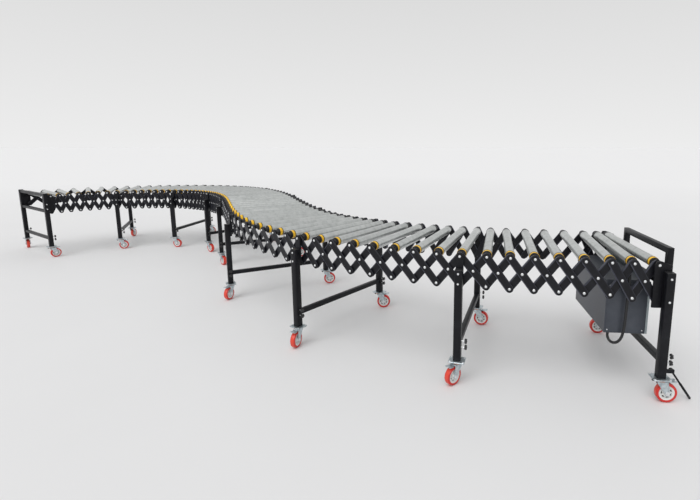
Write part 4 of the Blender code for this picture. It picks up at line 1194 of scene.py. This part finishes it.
def makeCarrierPlate(plan):
    # the zinc plate that carries the box, with a flange turned out at its near edge
    near, far, foot, right = plan["near"], plan["plateFar"], plan["foot"], plan["right"]
    sheet = bar(plan["plateThickness"], far - near, plan["plateTop"] - foot, plan["plateCorner"], 0, 2)
    flange = bar(plan["flangeReach"] - right, plan["flangeThickness"],
                 plan["flangeTop"] - foot - 2 * plan["flangeStep"], plan["plateCorner"], 0, 2)
    part = together(at(sheet, right + plan["plateLine"], (near + far) / 2, (foot + plan["plateTop"]) / 2),
                    at(flange, (right + plan["flangeReach"]) / 2, near - plan["flangeSink"],
                       (foot + plan["flangeTop"]) / 2))
    makePiece("carrier_plate", "end_frame", Shell().take(part, stations[0]), [plate], ["control_box"])


makeBox(boxPlan)
makeCarrierPlate(boxPlan)


terminalPlan = {    # sizes and shifts as shares of the solid's box
    "count": 9, "railShares": (0.55, 0.92, 1.0), "railShiftShare": 0.20, "railCorner": 0.0015,
    "blockShares": (0.62, 0.72, 0.72), "blockShiftShare": -0.15, "blockCorner": 0.0012,
    "screw": [(0.0034, 0.0), (0.0034, 0.0012), (0.0024, 0.0018)], "screwShiftShare": -0.46,
    "screwRise": 0.0018,
}


def makeTerminals(plan):
    # a green rail with a row of screw terminals, as high as its solid
    low, high = (np.array(corner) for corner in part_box("terminal_strip"))
    size, (x, y, z) = high - low, (low + high) / 2
    backWards = Matrix.Rotation(math.radians(-90), 4, "Y")
    pitch = np.array([size[0], size[1], size[2] / plan["count"]])
    rail = bar(*(size * plan["railShares"]), plan["railCorner"])
    block = bar(*(pitch * plan["blockShares"]), plan["blockCorner"])
    screw = turned(plan["screw"], 12, 1)
    parts = [at(rail, x + size[0] * plan["railShiftShare"], y, z)]
    for index in range(plan["count"]):
        level = low[2] + (index + 0.5) * pitch[2]
        parts.append(at(block, x + size[0] * plan["blockShiftShare"], y, level))
        parts.append(at(screw, x + size[0] * plan["screwShiftShare"] + plan["screwRise"], y, level,
                        backWards))
    makePiece("terminal_block", "end_frame", Shell().take(together(*parts)), [green, bolt],
              ["terminal_strip"])


transformerPlan = {    # shares of the solid's box; sheets across the middle, turns round the winding
    "sheets": 11, "sheetShares": (0.98, 0.036, 0.94), "stackShare": 0.48, "sheetCorner": 0.0008,
    "coreShares": (0.96, 0.50, 0.90), "footShares": (0.30, 0.98, 0.98), "footShiftShare": 0.35,
    "corner": 0.002,
    "windingShares": (0.62, 0.96, 0.56), "windingCornerShare": 0.16,
    "turns": 7, "turnShares": (0.645, 0.985, 0.045), "turnCornerShare": 0.165, "turnsShare": 0.50,
}


def makeTransformer(plan):
    # laminated core plates round a brown winding with rounded ends, on a foot
    low, high = (np.array(corner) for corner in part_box("transformer"))
    size, (x, y, z) = high - low, (low + high) / 2
    sheet = bar(*(size * plan["sheetShares"]), plan["sheetCorner"], 1, 2)
    core = bar(*(size * plan["coreShares"]), plan["corner"], 1)
    foot = bar(*(size * plan["footShares"]), plan["corner"], 1)
    winding = bar(*(size * plan["windingShares"]), size[0] * plan["windingCornerShare"], 0, 6)
    turn = bar(*(size * plan["turnShares"]), size[0] * plan["turnCornerShare"], 0, 6)
    parts = [at(core, x, y, z), at(winding, x, y, z), at(foot, x + size[0] * plan["footShiftShare"], y, z)]
    for share in (np.arange(plan["sheets"]) + 0.5) / plan["sheets"] - 0.5:
        parts.append(at(sheet, x, y + size[1] * plan["stackShare"] * share, z))
    for share in (np.arange(plan["turns"]) + 0.5) / plan["turns"] - 0.5:
        parts.append(at(turn, x, y, z + size[2] * plan["turnsShare"] * share))
    makePiece("transformer_coil", "end_frame", Shell().take(together(*parts)), [brown, grey],
              ["transformer"])


makeTerminals(terminalPlan)
makeTransformer(transformerPlan)
print("stage: control box and electrics made")


# floor, backdrop and light

studio = {
    "floor": (0.80, 0.80, 0.805), "farFloor": (0.875, 0.875, 0.88), "farFrom": 4.0, "farTo": 14.0,
    "floorHalf": 260.0, "floorLevel": -0.0006, "floorRoughness": 0.62,
    "cloudScale": 0.9, "cloudShade": 0.985,
    "low": 0.845, "high": 0.700, "highAt": 0.34,      # backdrop at the horizon and at the picture's top
    "horizon": 0.70, "zenith": 1.05, "zenithAt": 0.9, "strength": 0.66,
    "sunStrength": 1.42, "sunAngle": 50.0, "sunTurn": (38.0, -24.0),     # tilt about X, then turn about Z
}


def makeFloor(plan):
    # near colour to far colour by the distance from the origin
    h, level = plan["floorHalf"], plan["floorLevel"]
    mesh = bpy.data.meshes.new("floor")
    mesh.from_pydata([(-h, -h, level), (h, -h, level), (h, h, level), (-h, h, level)], [], [(0, 1, 2, 3)])
    finish = Finish("studio_floor", Metallic=0.0)
    place = finish.node("TexCoord", None, 3)
    distance = finish.node("VectorMath", {"operation": "LENGTH"}, 1, _0=place)
    away = distance.over(plan["farFrom"], plan["farTo"])
    cloud = finish.noise(place, plan["cloudScale"], 3.0)
    shaded = tuple(value * plan["cloudShade"] for value in plan["floor"])
    near = finish.mix(cloud.over(0.35, 0.70), plan["floor"], shaded)
    finish.set(Base_Color=finish.mix(away, near, plan["farFloor"]), Roughness=plan["floorRoughness"])
    mesh.materials.append(finish.material)
    floor = bpy.data.objects.new("floor", mesh)
    bpy.context.scene.collection.objects.link(floor)


def makeLight(plan):
    # camera, glossy and transmission rays see a pale backdrop; diffuse light comes from a sky
    # that is brighter overhead
    world = bpy.data.worlds.new("studio")
    bpy.context.scene.world = world
    world.use_nodes = True
    tree = world.node_tree
    tree.nodes.clear()
    place = tree.nodes.new("ShaderNodeTexCoord")
    split = tree.nodes.new("ShaderNodeSeparateXYZ")
    tree.links.new(place.outputs["Generated"], split.inputs[0])
    height = Signal(tree, split.outputs[2])
    path = tree.nodes.new("ShaderNodeLightPath")
    shown = [Signal(tree, path.outputs["Is %s Ray" % kind]) for kind in ("Camera", "Glossy", "Transmission")]
    pick, out = tree.nodes.new("ShaderNodeMixShader"), tree.nodes.new("ShaderNodeOutputWorld")
    skyLevel = plan["horizon"] + height.over(0.0, plan["zenithAt"]) * (plan["zenith"] - plan["horizon"])
    seenLevel = plan["low"] - height.over(0.0, plan["highAt"]) * (plan["low"] - plan["high"])
    for level, strength, port in ((skyLevel, plan["strength"], 1), (seenLevel, 1.0, 2)):
        colour, shader = tree.nodes.new("ShaderNodeCombineXYZ"), tree.nodes.new("ShaderNodeBackground")
        for channel in colour.inputs:
            feed(tree, channel, level)
        tree.links.new(colour.outputs[0], shader.inputs[0])
        shader.inputs[1].default_value = strength
        tree.links.new(shader.outputs[0], pick.inputs[port])
    feed(tree, pick.inputs[0], (shown[0] + shown[1] + shown[2]).over(0.0, 1.0))
    tree.links.new(pick.outputs[0], out.inputs[0])
    sun = bpy.data.lights.new("key", "SUN")
    sun.energy, sun.angle = plan["sunStrength"], math.radians(plan["sunAngle"])
    key = bpy.data.objects.new("key", sun)
    tilt, turn = plan["sunTurn"]
    key.rotation_euler = (math.radians(tilt), 0.0, math.radians(turn))
    bpy.context.scene.collection.objects.link(key)


makeFloor(studio)
makeLight(studio)
bpy.context.scene.view_settings.view_transform = "Standard"
print("stage: studio made")
